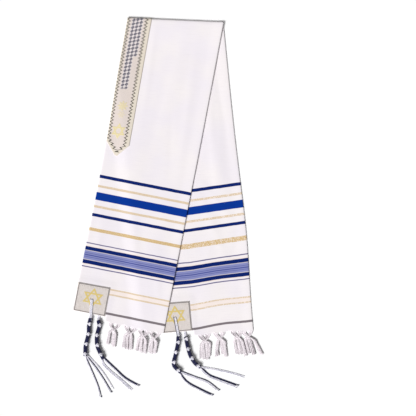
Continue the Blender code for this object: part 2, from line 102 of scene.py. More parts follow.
# A leg's own lean, length and hem, how far its open edge and its fold bow and end up aside of a straight
# line, and the sign of the crease's slant
Leg = namedtuple("Leg", "name lean length hem_tilt hem_bow open_bow fold_bow bow_skew open_end fold_end sign")
LEFT = Leg("left", math.radians(10.6), 0.8173, math.radians(0.5), 0, 0.0045, 0, 1, 0, -0.0045, -1)
RIGHT = Leg("right", math.radians(-5.6), 0.8344, math.radians(0.44), 0.0035, 0, 0.0065, 2.5, 0.0045, 0, 1)
CREASE_SLANT = (LEFT.lean - RIGHT.lean) / 2
CREASE_TURN = -(LEFT.lean + RIGHT.lean) / 2

# Sewn pieces, and what the lower layer rises over
BAND_WIDTH = 0.065
BAND_START = 0.0002
BAND_POINT = ((0, 0.339), (0.030, 0.377), (0.036, 0.378), (BAND_WIDTH, 0.347))
PATCH_WIDTH = 0.090
PATCH_HEIGHT = 0.080
PATCH_INSET = 0.0006
EYELET_RADIUS = 0.0036
EYELET_ABOVE_HEM = 0.041
EYELET_RING = 0.0042
STAR_ASIDE = 0.0022
STAR_ABOVE = 0.0025
STAR_STRETCH = 1.1
STAR_REACH = 0.02775
EYELET_POINTS = 24
EYELET_THREAD = 0.0003
UNDERLAY = 0.0012
UNDERLAY_EDGE = 0.020
BAND_UNDERLAY_REACH = 0.426
BAND_UNDERLAY_END = 0.045
STACK = UNDERLAY + WALL + LAYER_PITCH + LAYER_GAP
PATCH_STACK = 0.0012
PATCH_STACK_START = 0.250
PATCH_STACK_RUN = 0.120
RAMP_START = 0.034
RAMP_END = 0.076
BORDER_INWARD = 0.0030
BORDER_OUTWARD = 0.0045
TRIM_RISE = 0.00115  # from the middle of the cloth's wall to the middle of what is sewn on it
EYELET_LIFT = 0.0003  # how much further an eyelet stands out where it shows

# The neckband's border, its zigzag braid and its rows of small lozenges
BORDER = 0.0088
BRAID_MIDDLE = 0.0048
BRAID_WIDTH = 0.0034
BRAID_STEP = 0.0046
BRAID_SLOPE = 1.65
BRAID_END = 0.36825
ROW_PITCH = 0.0100
ROWS_HALF_WIDTH = 0.0150
ROWS_END = 0.193
SHORT_ROW_SIDE = 0.0048
SHORT_ROW_END = 0.102
LOZENGE_STEP = 0.0050
LOZENGE_REACH = 0.00485
LOZENGE_HEART = 0.0010

# Fringe and tassels
FRINGE_STRIP = 0.019
FRAY_SHORTEST = 0.66
FRAY_PEAK = 0.0060
BUNDLE_SPREAD = 0.0095
BUNDLE_FOLD_GAP = 0.006
KNOT_DROP = 0.0145
KNOT_PULL = 0.0015
KNOT_RISE = 0.0006
KNOT_UPPER_LIFT = 0.0014
KNOT_RADIUS = 0.0031
TUFT_KNOT = (0.0036, 0.0034, 0.0008)
TUFT_KNOT_CORD = 0.0015
ARM_PITCH = 2.1
ARM_FOLD_GAP = 0.003
ARM_DRAWN = 0.25
ARM_KNOT_SIDE = 0.0020
ARM_KNOT_PITCH = 0.0007
ARM_BULGE = 0.0010
ARM_INSIDE = 0.0040
ARM_OUT = 0.0060
LOCK_PITCH = 1.6
LOCK_ROOT_LIFT = 0.0036
LOCK_TIP_LIFT = 0.0024
LOCK_SHORTEST = 0.93
LOCK_SHARES = (0.16, 0.40, 0.70, 1)
LOCK_TIP_THREAD = 0.75
# Shares of the arm and lock threads that take the darker yarn: painted shade among the threads
PAINTED_SHADE_ARMS = 0.15
PAINTED_SHADE_THREADS = 0.1
HEAD_RADIUS = 0.0057
HEAD_HEIGHT = 0.0068
HEAD_KNOT_RADIUS = 0.0058
HEAD_KNOT_PITCH = 0.0275
HEAD_END_GAP = 0.002
WRAP_HALF = 0.0016
WRAP_PITCH = 0.0021
WRAP_CORD = 0.00095
HEAD_LUMP = (0.0046, 0.0040, 0.0008)
HEAD_LUMP_CORD = 0.00125
HEAD_LUMP_RISE = 0.0049
HEAD_LUMP_SWAY = 0.0009
STRING_RADIUS = 0.0009
STRING_ROOT_PITCH = 0.0017
STRING_TIP_PITCH = 0.0021
STRING_PLY = 0.00056
STRING_TWIST = 0.00046
BUNDLE_LIFT = 0.0002
STRING_END_SPREAD = 0.004
END_KNOT = (0.0016, 0.0009, 0.0004)
END_KNOT_CORD = 0.0009
LOOP_PLY = 0.00070
LOOP_TWIST = 0.00045
TWIST_PITCH = 0.0042
PLIES = 2
TABLE_GAP = 0.0003

# How finely the meshes are cut, and how near a hem still counts as the hem
SQUARE_STEP = 0.0008
CREASE_STEP = 0.0012
FRAY_STEP = FRINGE_STRIP / 5
PATCH_STEP = 0.06
ARC_STEPS = 8
HEM_SLACK = 0.00001

# The camera's place over the table, its sensor in millimetres and how far it sees
VIEW_MIDDLE = (0.10935, -0.00135)
SENSOR = 36
VIEW_REACH = 60

# Soft swells and creases, as ridges and, below zero, troughs, each turned by so many degrees. Those of the
# upper layer show from above, and those of both layers show from below too.
Fold = namedtuple("Fold", "across down half_length half_width height turn")
FOLDS = {
    ("left", "upper"): (
        Fold(0.150, 0.130, 0.110, 0.030, 0.0012, -8),
        Fold(0.095, 0.430, 0.150, 0.034, 0.0013, 6),
        Fold(0.190, 0.560, 0.130, 0.028, 0.0012, -5),
        Fold(0.082, 0.120, 0.130, 0.0080, 0.0007, 2),
        Fold(0.128, 0.220, 0.150, 0.0140, -0.0006, -4),
        Fold(0.205, 0.250, 0.170, 0.0120, 0.0008, 3),
        Fold(0.176, 0.330, 0.080, 0.0090, -0.0005, 9),
        Fold(0.045, 0.520, 0.120, 0.0110, 0.0007, -6),
        Fold(0.150, 0.610, 0.105, 0.0130, -0.0006, 12),
        Fold(0.120, 0.765, 0.034, 0.0100, 0.0007, -30),
        Fold(0.215, 0.700, 0.075, 0.0090, 0.0006, 14),
    ),
    ("right", "upper"): (
        Fold(0.206, 0.420, 0.130, 0.024, 0.0013, 4),
        Fold(0.150, 0.730, 0.070, 0.026, 0.0011, -28),
        Fold(0.196, 0.300, 0.160, 0.0110, 0.0008, -3),
        Fold(0.228, 0.200, 0.120, 0.0080, -0.0005, 4),
        Fold(0.170, 0.560, 0.100, 0.0130, 0.0008, 16),
        Fold(0.215, 0.640, 0.060, 0.0090, -0.0005, -20),
        Fold(0.190, 0.790, 0.030, 0.0110, 0.0007, -58),
    ),
    ("left", "both"): (
        Fold(0.030, 0.600, 0.090, 0.0100, 0.0007, 5),
        Fold(0.070, 0.470, 0.060, 0.0120, 0.0006, -40),
        Fold(0.052, 0.690, 0.030, 0.0080, 0.0005, 62),
    ),
    ("right", "both"): (
        Fold(0.210, 0.350, 0.120, 0.0140, 0.0007, -8),
        Fold(0.180, 0.480, 0.070, 0.0100, 0.0006, 34),
        Fold(0.205, 0.700, 0.045, 0.0090, 0.0006, 70),
        Fold(0.150, 0.640, 0.100, 0.0130, 0.0006, -12),
    ),
}

# Woven stripes, by the distance of their middle from the grey line near the hem, their width and their yarn
HEM_LINE = 0.0095
STRIPES = (
    (0, 0.0062, "hem_grey"),
    (0.0581, 0.0100, "cream"),
    (0.0513, 0.0042, "pale_gold"),
    (0.0652, 0.0042, "pale_gold"),
    (0.1140, 0.0031, "hairline"),
    (0.1203, 0.0035, "cream"),
    (0.1268, 0.0104, "navy"),
    (0.1453, 0.0266, "lavender"),
    (0.1328, 0.0018, "light_line"),
    (0.1577, 0.0018, "light_line"),
    (0.1403, 0.0011, "deep_lavender"),
    (0.1453, 0.0027, "deep_lavender"),
    (0.1504, 0.0011, "deep_lavender"),
    (0.1634, 0.0096, "navy"),
    (0.1704, 0.0035, "cream"),
    (0.1774, 0.0029, "hairline"),
    (0.2152, 0.0088, "broad_gold"),
    (0.2546, 0.0085, "navy"),
    (0.2777, 0.0062, "pale_gold"),
    (0.3059, 0.0212, "royal"),
    (0.3332, 0.0062, "pale_gold"),
    (0.3596, 0.0087, "navy"),
)

# On the right leg the stripes slant up towards the long fold, the upper ones lie higher, all straighten out
# away from the bowed hem, and the broad gold one is wider
STRIPES_LEVEL_TO = 0.10
SLANT_MIDDLE = 0.14
STRIPE_SLANT = (-0.0030, 0.0032)
STRIPE_LIFT = 0.0112
LIFT_START = 0.15
LIFT_RUN = 0.12
UNBENT_FROM = 0.3
GOLD_WIDENING = 0.0030

# Knotted tufts of the fringe, with their place across and the locks that hang from each. A lock has the
# place of its root and of its tip beside the knot, and its length.
Tuft = namedtuple("Tuft", "leg outer across locks")
TUFTS = (
    Tuft(LEFT, 1, 0.121, ((-0.0110, -0.0105, 0.040), (0.0045, 0.0080, 0.043))),
    Tuft(LEFT, 1, 0.168, ((-0.0085, -0.0030, 0.043), (0.0020, 0.0075, 0.041))),
    Tuft(LEFT, 1, 0.204, ((-0.0050, 0.0000, 0.043), (0.0065, 0.0110, 0.044))),
    Tuft(LEFT, 1, 0.234, ((-0.0055, -0.0010, 0.041), (0.0070, 0.0080, 0.038))),
    Tuft(LEFT, 0, 0.116, ((-0.0050, -0.0040, 0.037), (0.0060, 0.0080, 0.039))),
    Tuft(LEFT, 0, 0.160, ((-0.0060, -0.0050, 0.040), (0.0060, 0.0060, 0.038))),
    Tuft(LEFT, 0, 0.198, ((-0.0050, -0.0060, 0.041), (0.0060, 0.0030, 0.039))),
    Tuft(LEFT, 0, 0.230, ((-0.0040, -0.0020, 0.038), (0.0060, 0.0040, 0.036))),
    Tuft(RIGHT, 0, 0.124, ((-0.0080, -0.0090, 0.048), (0.0015, -0.0010, 0.050), (0.0105, 0.0040, 0.044))),
    Tuft(RIGHT, 0, 0.165, ((-0.0075, -0.0175, 0.046), (0.0085, 0.0095, 0.050))),
    Tuft(RIGHT, 0, 0.214, ((-0.0030, 0.0050, 0.044), (0.0070, 0.0150, 0.052))),
    Tuft(RIGHT, 0, 0.242, ((0.0010, 0.0100, 0.049), (0.0105, 0.0310, 0.050))),
    Tuft(RIGHT, 1, 0.117, ((-0.0060, -0.0100, 0.044), (0.0050, 0.0050, 0.045))),
    Tuft(RIGHT, 1, 0.159, ((-0.0060, -0.0060, 0.045), (0.0060, 0.0080, 0.043))),
    Tuft(RIGHT, 1, 0.207, ((-0.0060, -0.0010, 0.046), (0.0050, 0.0080, 0.045))),
    Tuft(RIGHT, 1, 0.236, ((-0.0050, 0.0020, 0.044), (0.0060, 0.0140, 0.046))),
)

# Corner tassels: the leg and layer that carry each, how far down its head the first knot sits, the middle
# line of its wound head from the hem to its end, and its bundles of loose strings, with the number of
# strings and of dark ones among them. Places are (x, y) on the table.
Tassel = namedtuple("Tassel", "name leg outer first_knot head bundles")
Bundle = namedtuple("Bundle", "strings dark line")
TASSELS = (
    Tassel(
        "tzitzit_1",
        LEFT,
        1,
        0.015,
        ((-0.2070, -0.2985), (-0.2115, -0.318), (-0.2125, -0.340), (-0.2205, -0.372), (-0.2215, -0.400)),
        (
            Bundle(3, 1, ((-0.2175, -0.412), (-0.2030, -0.445), (-0.1880, -0.482), (-0.1815, -0.507))),
            Bundle(3, 1, ((-0.2115, -0.410), (-0.1925, -0.434), (-0.1720, -0.465), (-0.1545, -0.495))),
            Bundle(2, 0, ((-0.2060, -0.408), (-0.1850, -0.431), (-0.1670, -0.455), (-0.1480, -0.487))),
        ),
    ),
    Tassel(
        "tzitzit_2",
        LEFT,
        0,
        0.013,
        ((-0.1860, -0.3040), (-0.1835, -0.320), (-0.1900, -0.345), (-0.1885, -0.375), (-0.1725, -0.408)),
        (
            Bundle(4, 2, ((-0.1655, -0.413), (-0.1420, -0.435), (-0.1140, -0.461), (-0.0810, -0.480))),
            Bundle(4, 0, ((-0.1740, -0.4205), (-0.1550, -0.4415), (-0.1275, -0.4640), (-0.0985, -0.4905))),
        ),
    ),
    Tassel(
        "tzitzit_3",
        RIGHT,
        0,
        0.015,
        ((0.0295, -0.3475), (0.0280, -0.368), (0.0220, -0.396), (0.0170, -0.424), (0.0360, -0.444)),
        (
            Bundle(4, 1, ((0.0475, -0.448), (0.0760, -0.459), (0.1080, -0.471), (0.1350, -0.492))),
            Bundle(4, 2, ((0.0400, -0.4575), (0.0560, -0.474), (0.0850, -0.490), (0.1180, -0.506))),
        ),
    ),
    Tassel(
        "tzitzit_4",
        RIGHT,
        1,
        0.005,
        ((0.0495, -0.3485), (0.0535, -0.370), (0.0610, -0.397), (0.0740, -0.419), (0.0890, -0.430)),
        (
            Bundle(3, 0, ((0.1000, -0.432), (0.1300, -0.437), (0.1700, -0.446), (0.2040, -0.456))),
            Bundle(5, 2, ((0.0965, -0.440), (0.1140, -0.455), (0.1450, -0.467), (0.1860, -0.482))),
        ),
    ),
)


def smooth(value):
    """0 below 0, 1 above 1, and an even curve between."""
    t = min(max(value, 0), 1)
    return t * t * (3 - 2 * t)


def mix(low, high, share):
    return low + (high - low) * share


def screen_colour(red, green, blue):
    """A colour given in screen values from 0 to 255, as the linear values that Blender keeps."""
    values = (red / 255, green / 255, blue / 255)
    return tuple(value / 12.92 if value <= 0.04045 else ((value + 0.055) / 1.055) ** 2.4 for value in values)


# Where a point of the cloth lies on the table


def leg_axes(leg):
    """The directions down a leg and across it, from its open edges to its long fold."""
    down = Vector((-math.sin(leg.lean), -math.cos(leg.lean)))
    return down, Vector((-down.y, down.x))


def crease_out():
    """The direction along the table that points away from the legs at the crease."""
    along = Vector((math.cos(CREASE_TURN), math.sin(CREASE_TURN)))
    return Vector((-along.y, along.x, 0))


def hem_bow(leg, across):
    """How far a leg's hem bows up, towards its long fold."""
    share = (across / STRIP_WIDTH - HEM_BOW_START) / (1 - HEM_BOW_START)
    return leg.hem_bow * math.sin(math.pi * smooth(share))


def hem_down(leg, across):
    """How far down a leg's own axis its hem lies, with its tilt and its bow."""
    return leg.length + (across - STRIP_WIDTH / 2) * math.tan(leg.hem_tilt) - hem_bow(leg, across)


def own_down(leg, across, down):
    """How far down a leg's own axis a point lies. Rows turn from the crease's slant to the hem's."""
    crease = leg.sign * (across - STRIP_WIDTH / 2) * math.tan(CREASE_SLANT)
    return mix(crease, hem_down(leg, across), down / leg.length)


def plan(leg, across, down):
    """The (x, y) place of a point on a leg."""
    share = down / leg.length
    bow = math.sin(math.pi * smooth(share) ** leg.bow_skew)
    aside = mix(leg.open_bow, leg.fold_bow, across / STRIP_WIDTH) * bow
    aside += mix(leg.open_end, leg.fold_end, across / STRIP_WIDTH) * smooth(share) ** 2
    downward, sideways = leg_axes(leg)
    aside += across - STRIP_WIDTH / 2
    return CREASE_MIDDLE + sideways * aside + downward * own_down(leg, across, down)


def layer_spread(across):
    """The distance between the middles of a leg's two layers, which part towards the long fold."""
    near_fold = 1 - smooth((FLAT_END - across) / LONG_FOLD_BULGE)
    return mix(LAYER_PITCH, 2 * LONG_FOLD_RADIUS, near_fold)


def underlay(leg, across, down):
    """The rise of a leg's lower layer over the patch, and over the neckband, that it carries underneath."""
    beside_patch = 1 - smooth((across - PATCH_WIDTH) / UNDERLAY_EDGE)
    above_patch = smooth((down - (leg.length - PATCH_HEIGHT - UNDERLAY_EDGE)) / (UNDERLAY_EDGE - 0.004))
    rise = beside_patch * above_patch
    if leg is RIGHT:
        beside_band = 1 - smooth((across - BAND_WIDTH) / (PATCH_WIDTH - BAND_WIDTH))
        below_band = 1 - smooth((down - BAND_UNDERLAY_REACH) / BAND_UNDERLAY_END)
        rise = max(rise, beside_band * below_band)
    return UNDERLAY * rise


def base(leg, across, down):
    """The height of what a leg lies on: the table, or for the left leg also the right one."""
    if leg is RIGHT:
        return 0
    outside = STRIP_WIDTH / 2 + (plan(leg, across, down) - CREASE_MIDDLE).dot(leg_axes(RIGHT)[1])
    plateau = STACK + CREASE_LIFT * (1 - smooth(down / CREASE_LIFT_REACH))
    plateau += PATCH_STACK * smooth((down - leg.length + PATCH_STACK_START) / PATCH_STACK_RUN)
    return plateau * smooth((outside + RAMP_END) / (RAMP_END - RAMP_START))


def rise_of(shape, across, down):
    """The height at a point of one soft swell or fold, which falls away evenly from its middle."""
    place = Matrix.Rotation(math.radians(shape.turn), 2) @ Vector((across - shape.across, down - shape.down))
    return shape.height * math.exp(-((place.y / shape.half_length) ** 2) - (place.x / shape.half_width) ** 2)


def cloth_rise(leg, across, down, layers):
    """The swells and creases at a point, which die out at the long fold, the hem and the crease."""
    rise = sum(rise_of(fold, across, down) for fold in FOLDS[leg.name, layers])
    edges = smooth((FLAT_END - across) / LONG_FOLD_BULGE) * smooth((leg.length - down) / CREASES_END)
    return bpy.context.scene.shawl_cloth.fold_depth * rise * edges * smooth(down / CREASES_START)


def upper_share(leg, outer):
    """1 on a leg's upper layer and 0 on its lower one. The outer half is on top on the left leg only."""
    return outer if leg is LEFT else 1 - outer


def leg_point(leg, across, outer, down):
    """A point on the middle of the cloth's wall, on one of the legs."""
    upper = upper_share(leg, outer)
    height = base(leg, across, down) + underlay(leg, across, down) + WALL / 2 + upper * layer_spread(across)
    height += cloth_rise(leg, across, down, "both") + upper * cloth_rise(leg, across, down, "upper")
    return plan(leg, across, down).to_3d() + UP * height


def leg_at(along):
    """The leg that a distance along the shawl lies on, or None on the crease, and how far down it lies."""
    if along < -CREASE_TURN_LENGTH / 2:
        return LEFT, -along - CREASE_TURN_LENGTH / 2
    if along > CREASE_TURN_LENGTH / 2:
        return RIGHT, along - CREASE_TURN_LENGTH / 2
    return None, 0


def cloth_point(across, along, outer):
    """A point on the middle of the cloth's wall, on a leg or where it turns over the crease."""
    leg, down = leg_at(along)
    if leg:
        return leg_point(leg, across, outer, down)
    top = leg_point(LEFT, across, outer, 0)
    bottom = leg_point(RIGHT, across, outer, 0)
    radius = (top.z - bottom.z) / 2
    angle = math.pi * (along / CREASE_TURN_LENGTH + 0.5)
    return (top + bottom) / 2 + crease_out() * (radius * math.sin(angle)) + UP * (radius * math.cos(angle))


def above_cloth(across, along, outer, rise):
    """A point so far outside the middle of the cloth's wall, square to it."""
    step = SQUARE_STEP
    run_across = cloth_point(across + step, along, outer) - cloth_point(across - step, along, outer)
    run_along = cloth_point(across, along + step, outer) - cloth_point(across, along - step, outer)
    out = run_across.cross(run_along).normalized()
    return cloth_point(across, along, outer) + out * (rise if outer == 1 else -rise)


def leg_along(leg, down):
    """The place along the shawl of a point so far down a leg."""
    return (down + CREASE_TURN_LENGTH / 2) * (-1 if leg is LEFT else 1)


def from_hem(across, along):
    """How far a point lies from its own leg's hem, along the leg."""
    leg, down = leg_at(along)
    leg = leg or LEFT
    return hem_down(leg, across) - own_down(leg, across, down)


def stripe_place(across, along):
    """How far above the hem a point lies among the woven stripes. On the right leg they're pulled up towards
    its long fold, and the upper ones all along."""
    above = from_hem(across, along)
    if leg_at(along)[0] is not RIGHT:
        return above
    share = (max(across, STRIPES_LEVEL_TO) - SLANT_MIDDLE) / (STRIP_WIDTH - SLANT_MIDDLE)
    lift = STRIPE_LIFT * smooth((above - LIFT_START) / LIFT_RUN)
    return above - mix(*STRIPE_SLANT, share) - lift + hem_bow(RIGHT, across) * smooth(above / UNBENT_FROM)


def steps_between(start, end, step):
    """Evenly spaced places from the start to the end, about one step apart."""
    count = max(1, round(abs(end - start) / step))
    return [mix(start, end, i / count) for i in range(count + 1)]


def steps_through(stops, steps):
    """Places from the first stop to the last, evenly spaced between each two at about their own step."""
    places = [stops[0]]
    for start, end, step in zip(stops, stops[1:], steps):
        places += steps_between(start, end, step)[1:]
    return places


def strip_columns(step):
    """(across, outer, flat run) of each column, from the outer half round the long fold to the inner half."""
    flats = steps_between(0, FLAT_END, step)
    columns = [(across, 1, across) for across in flats]
    for i in range(1, ARC_STEPS):
        angle = math.pi * i / ARC_STEPS
        run = mix(FLAT_END, 2 * STRIP_WIDTH - FLAT_END, i / ARC_STEPS)
        columns.append((FLAT_END + LONG_FOLD_RADIUS * math.sin(angle), (1 + math.cos(angle)) / 2, run))
    return columns + [(across, 0, 2 * STRIP_WIDTH - across) for across in reversed(flats)]


# Making meshes


def new_object(name, data):
    """A new object, linked to the scene."""
    made = bpy.data.objects.new(name, data)
    bpy.context.scene.collection.objects.link(made)
    return made


def finish_piece(name, mesh, node):
    """Links a mesh as a piece of the shawl: the solid it stands for and the body it rides on."""
    piece = new_object(name, mesh)
    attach(piece, "root")
    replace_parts(piece, node)
    return piece


def grid_mesh(name, paint, rows, columns, lay, measure, closed=False, spare=None):
    """A grid laid on the cloth. For a row and a column, lay gives the point's place, its flat place, which is
    kept as a UV map, and its measure, kept as an attribute. A closed grid's last column is its first one.
    Cells with a corner that is spare are left out."""
    bm = bmesh.new()
    bmesh.ops.create_grid(bm, x_segments=len(columns) - 1, y_segments=len(rows) - 1, size=0.5)
    spots = [(row, column) for row in rows for column in columns]
    laid = [lay(*spot) for spot in spots]
    uv = bm.loops.layers.uv.new("flat")
    layer = bm.verts.layers.float.new(measure)
    bm.verts.index_update()
    for vert, (place, _, value) in zip(bm.verts, laid):
        vert.co = place
        vert[layer] = value
    for face in bm.faces:
        face.smooth = True
        for loop in face.loops:
            loop[uv].uv = laid[loop.vert.index][1]
    if spare:
        gone = [vert for vert in bm.verts if spare(*spots[vert.index])]
        bmesh.ops.delete(bm, geom=gone, context="VERTS")
    if closed:
        bmesh.ops.remove_doubles(bm, verts=bm.verts, dist=1e-6)
    return mesh_of(bm, name, paint)


def mesh_of(bm, name, paint):
    """The finished mesh of a bmesh, in one material."""
    mesh = bpy.data.meshes.new(name)
    bm.to_mesh(mesh)
    bm.free()
    mesh.materials.append(paint)
    return mesh


def give_wall(piece, thickness):
    """Gives a sheet its wall, half of it on each side."""
    wall = piece.modifiers.new("wall", "SOLIDIFY")
    wall.thickness = thickness
    wall.offset = 0
    wall.use_even_offset = False
    wall.use_quality_normals = True


Strand = namedtuple("Strand", "points radii paint")


def even_strand(points, radius, paint):
    """A strand of the same radius all along."""
    return Strand(points, [radius] * len(points), paint)


def strand_mesh(name, paints, strands):
    """Round strands along lines of points, in one mesh. A strand's paint is its place among the paints."""
    curve = bpy.data.curves.new(name, "CURVE")
    curve.dimensions = "3D"
    curve.bevel_depth = 1
    curve.bevel_resolution = 1
    curve.use_fill_caps = True
    for paint in paints:
        curve.materials.append(paint)
    for strand in strands:
        spline = curve.splines.new("POLY")
        spline.points.add(len(strand.points) - 1)
        spline.material_index = strand.paint
        for point, place, radius in zip(spline.points, strand.points, strand.radii):
            point.co = (*place, 1)
            point.radius = radius
    helper = new_object(name + "_line", curve)
    bpy.context.view_layer.update()
    mesh = bpy.data.meshes.new_from_object(helper.evaluated_get(bpy.context.evaluated_depsgraph_get()))
    bpy.data.objects.remove(helper)
    bpy.data.curves.remove(curve)
    mesh.name = name
    return mesh


def curve_through(points, steps):
    """Points along a smooth curve through the given ones, with the given number between each two."""
    ends = [points[0] * 2 - points[1], *points, points[-1] * 2 - points[-2]]
    line = []
    for i in range(1, len(ends) - 2):
        before, start, end, after = ends[i - 1 : i + 3]
        for k in range(steps):
            t = k / steps
            line.append(
                (
                    start * 2
                    + (end - before) * t
                    + (before * 2 - start * 5 + end * 4 - after) * t**2
                    + (start * 3 - before - end * 3 + after) * t**3
                )
                / 2
            )
    return line + [points[-1]]


def lifted(line, lowest):
    """The same line, kept at least so high over the table."""
    return [Vector((spot.x, spot.y, max(spot.z, lowest))) for spot in line]


def frames_along(line):
    """The place, the direction ahead, and the two directions square to it, at each point of a line."""
    frames = []
    for i, place in enumerate(line):
        ahead = (line[min(i + 1, len(line) - 1)] - line[max(i - 1, 0)]).normalized()
        side = UP.cross(ahead) if abs(ahead.z) < 0.95 else Vector((1, 0, 0))
        side.normalize()
        frames.append((place, ahead, side, ahead.cross(side)))
    return frames


def length_of(line):
    return sum((end - start).length for start, end in zip(line, line[1:]))


def resampled(line, count):
    """The same line with evenly spaced points."""
    total, run, k, spots = length_of(line), 0, 0, [line[0]]
    for i in range(1, count - 1):
        goal = total * i / (count - 1)
        while run + (line[k + 1] - line[k]).length < goal:
            run += (line[k + 1] - line[k]).length
            k += 1
        spots.append(line[k].lerp(line[k + 1], (goal - run) / (line[k + 1] - line[k]).length))
    return spots + [line[-1]]


def winding(line, radius, pitch, thread, paint, points_per_turn=12, flatten=0.94):
    """A thread wound round a line, turn beside turn."""
    turns = length_of(line) / pitch
    count = max(int(turns * points_per_turn), points_per_turn) + 1
    spots = []
    for i, (place, _, side, over) in enumerate(frames_along(resampled(line, count))):
        angle = 2 * math.pi * turns * i / (count - 1)
        spots.append(place + side * (radius * math.cos(angle)) + over * (radius * flatten * math.sin(angle)))
    return even_strand(spots, thread, paint)


def twisted(line, radius, thread, paint, start, points_per_turn=6):
    """Two plies twisted round each other along a line."""
    turns = length_of(line) / TWIST_PITCH
    count = max(int(turns * points_per_turn), 4) + 1
    frames = frames_along(resampled(line, count))
    strands = []
    for ply in range(PLIES):
        spots = []
        for i, (place, _, side, over) in enumerate(frames):
            angle = start + 2 * math.pi * (turns * i / (count - 1) + ply / PLIES)
            spots.append(place + side * (radius * math.cos(angle)) + over * (radius * math.sin(angle)))
        strands.append(even_strand(spots, thread, paint))
    return strands


def knot_line(middle, ahead, side, over, size, count):
    """An overhand knot, as a closed-looking line round its middle, of the size (ahead, side, over)."""
    spots = []
    for i in range(count + 1):
        t = 2 * math.pi * i / count
        spots.append(
            middle
            + ahead * (size[0] * (math.sin(t) + 2 * math.sin(2 * t)) / 3)
            + side * (size[1] * (math.cos(t) - 2 * math.cos(2 * t)) / 3)
            + over * (size[2] * -math.sin(3 * t))
        )
    return spots


# Laying down a material's nodes


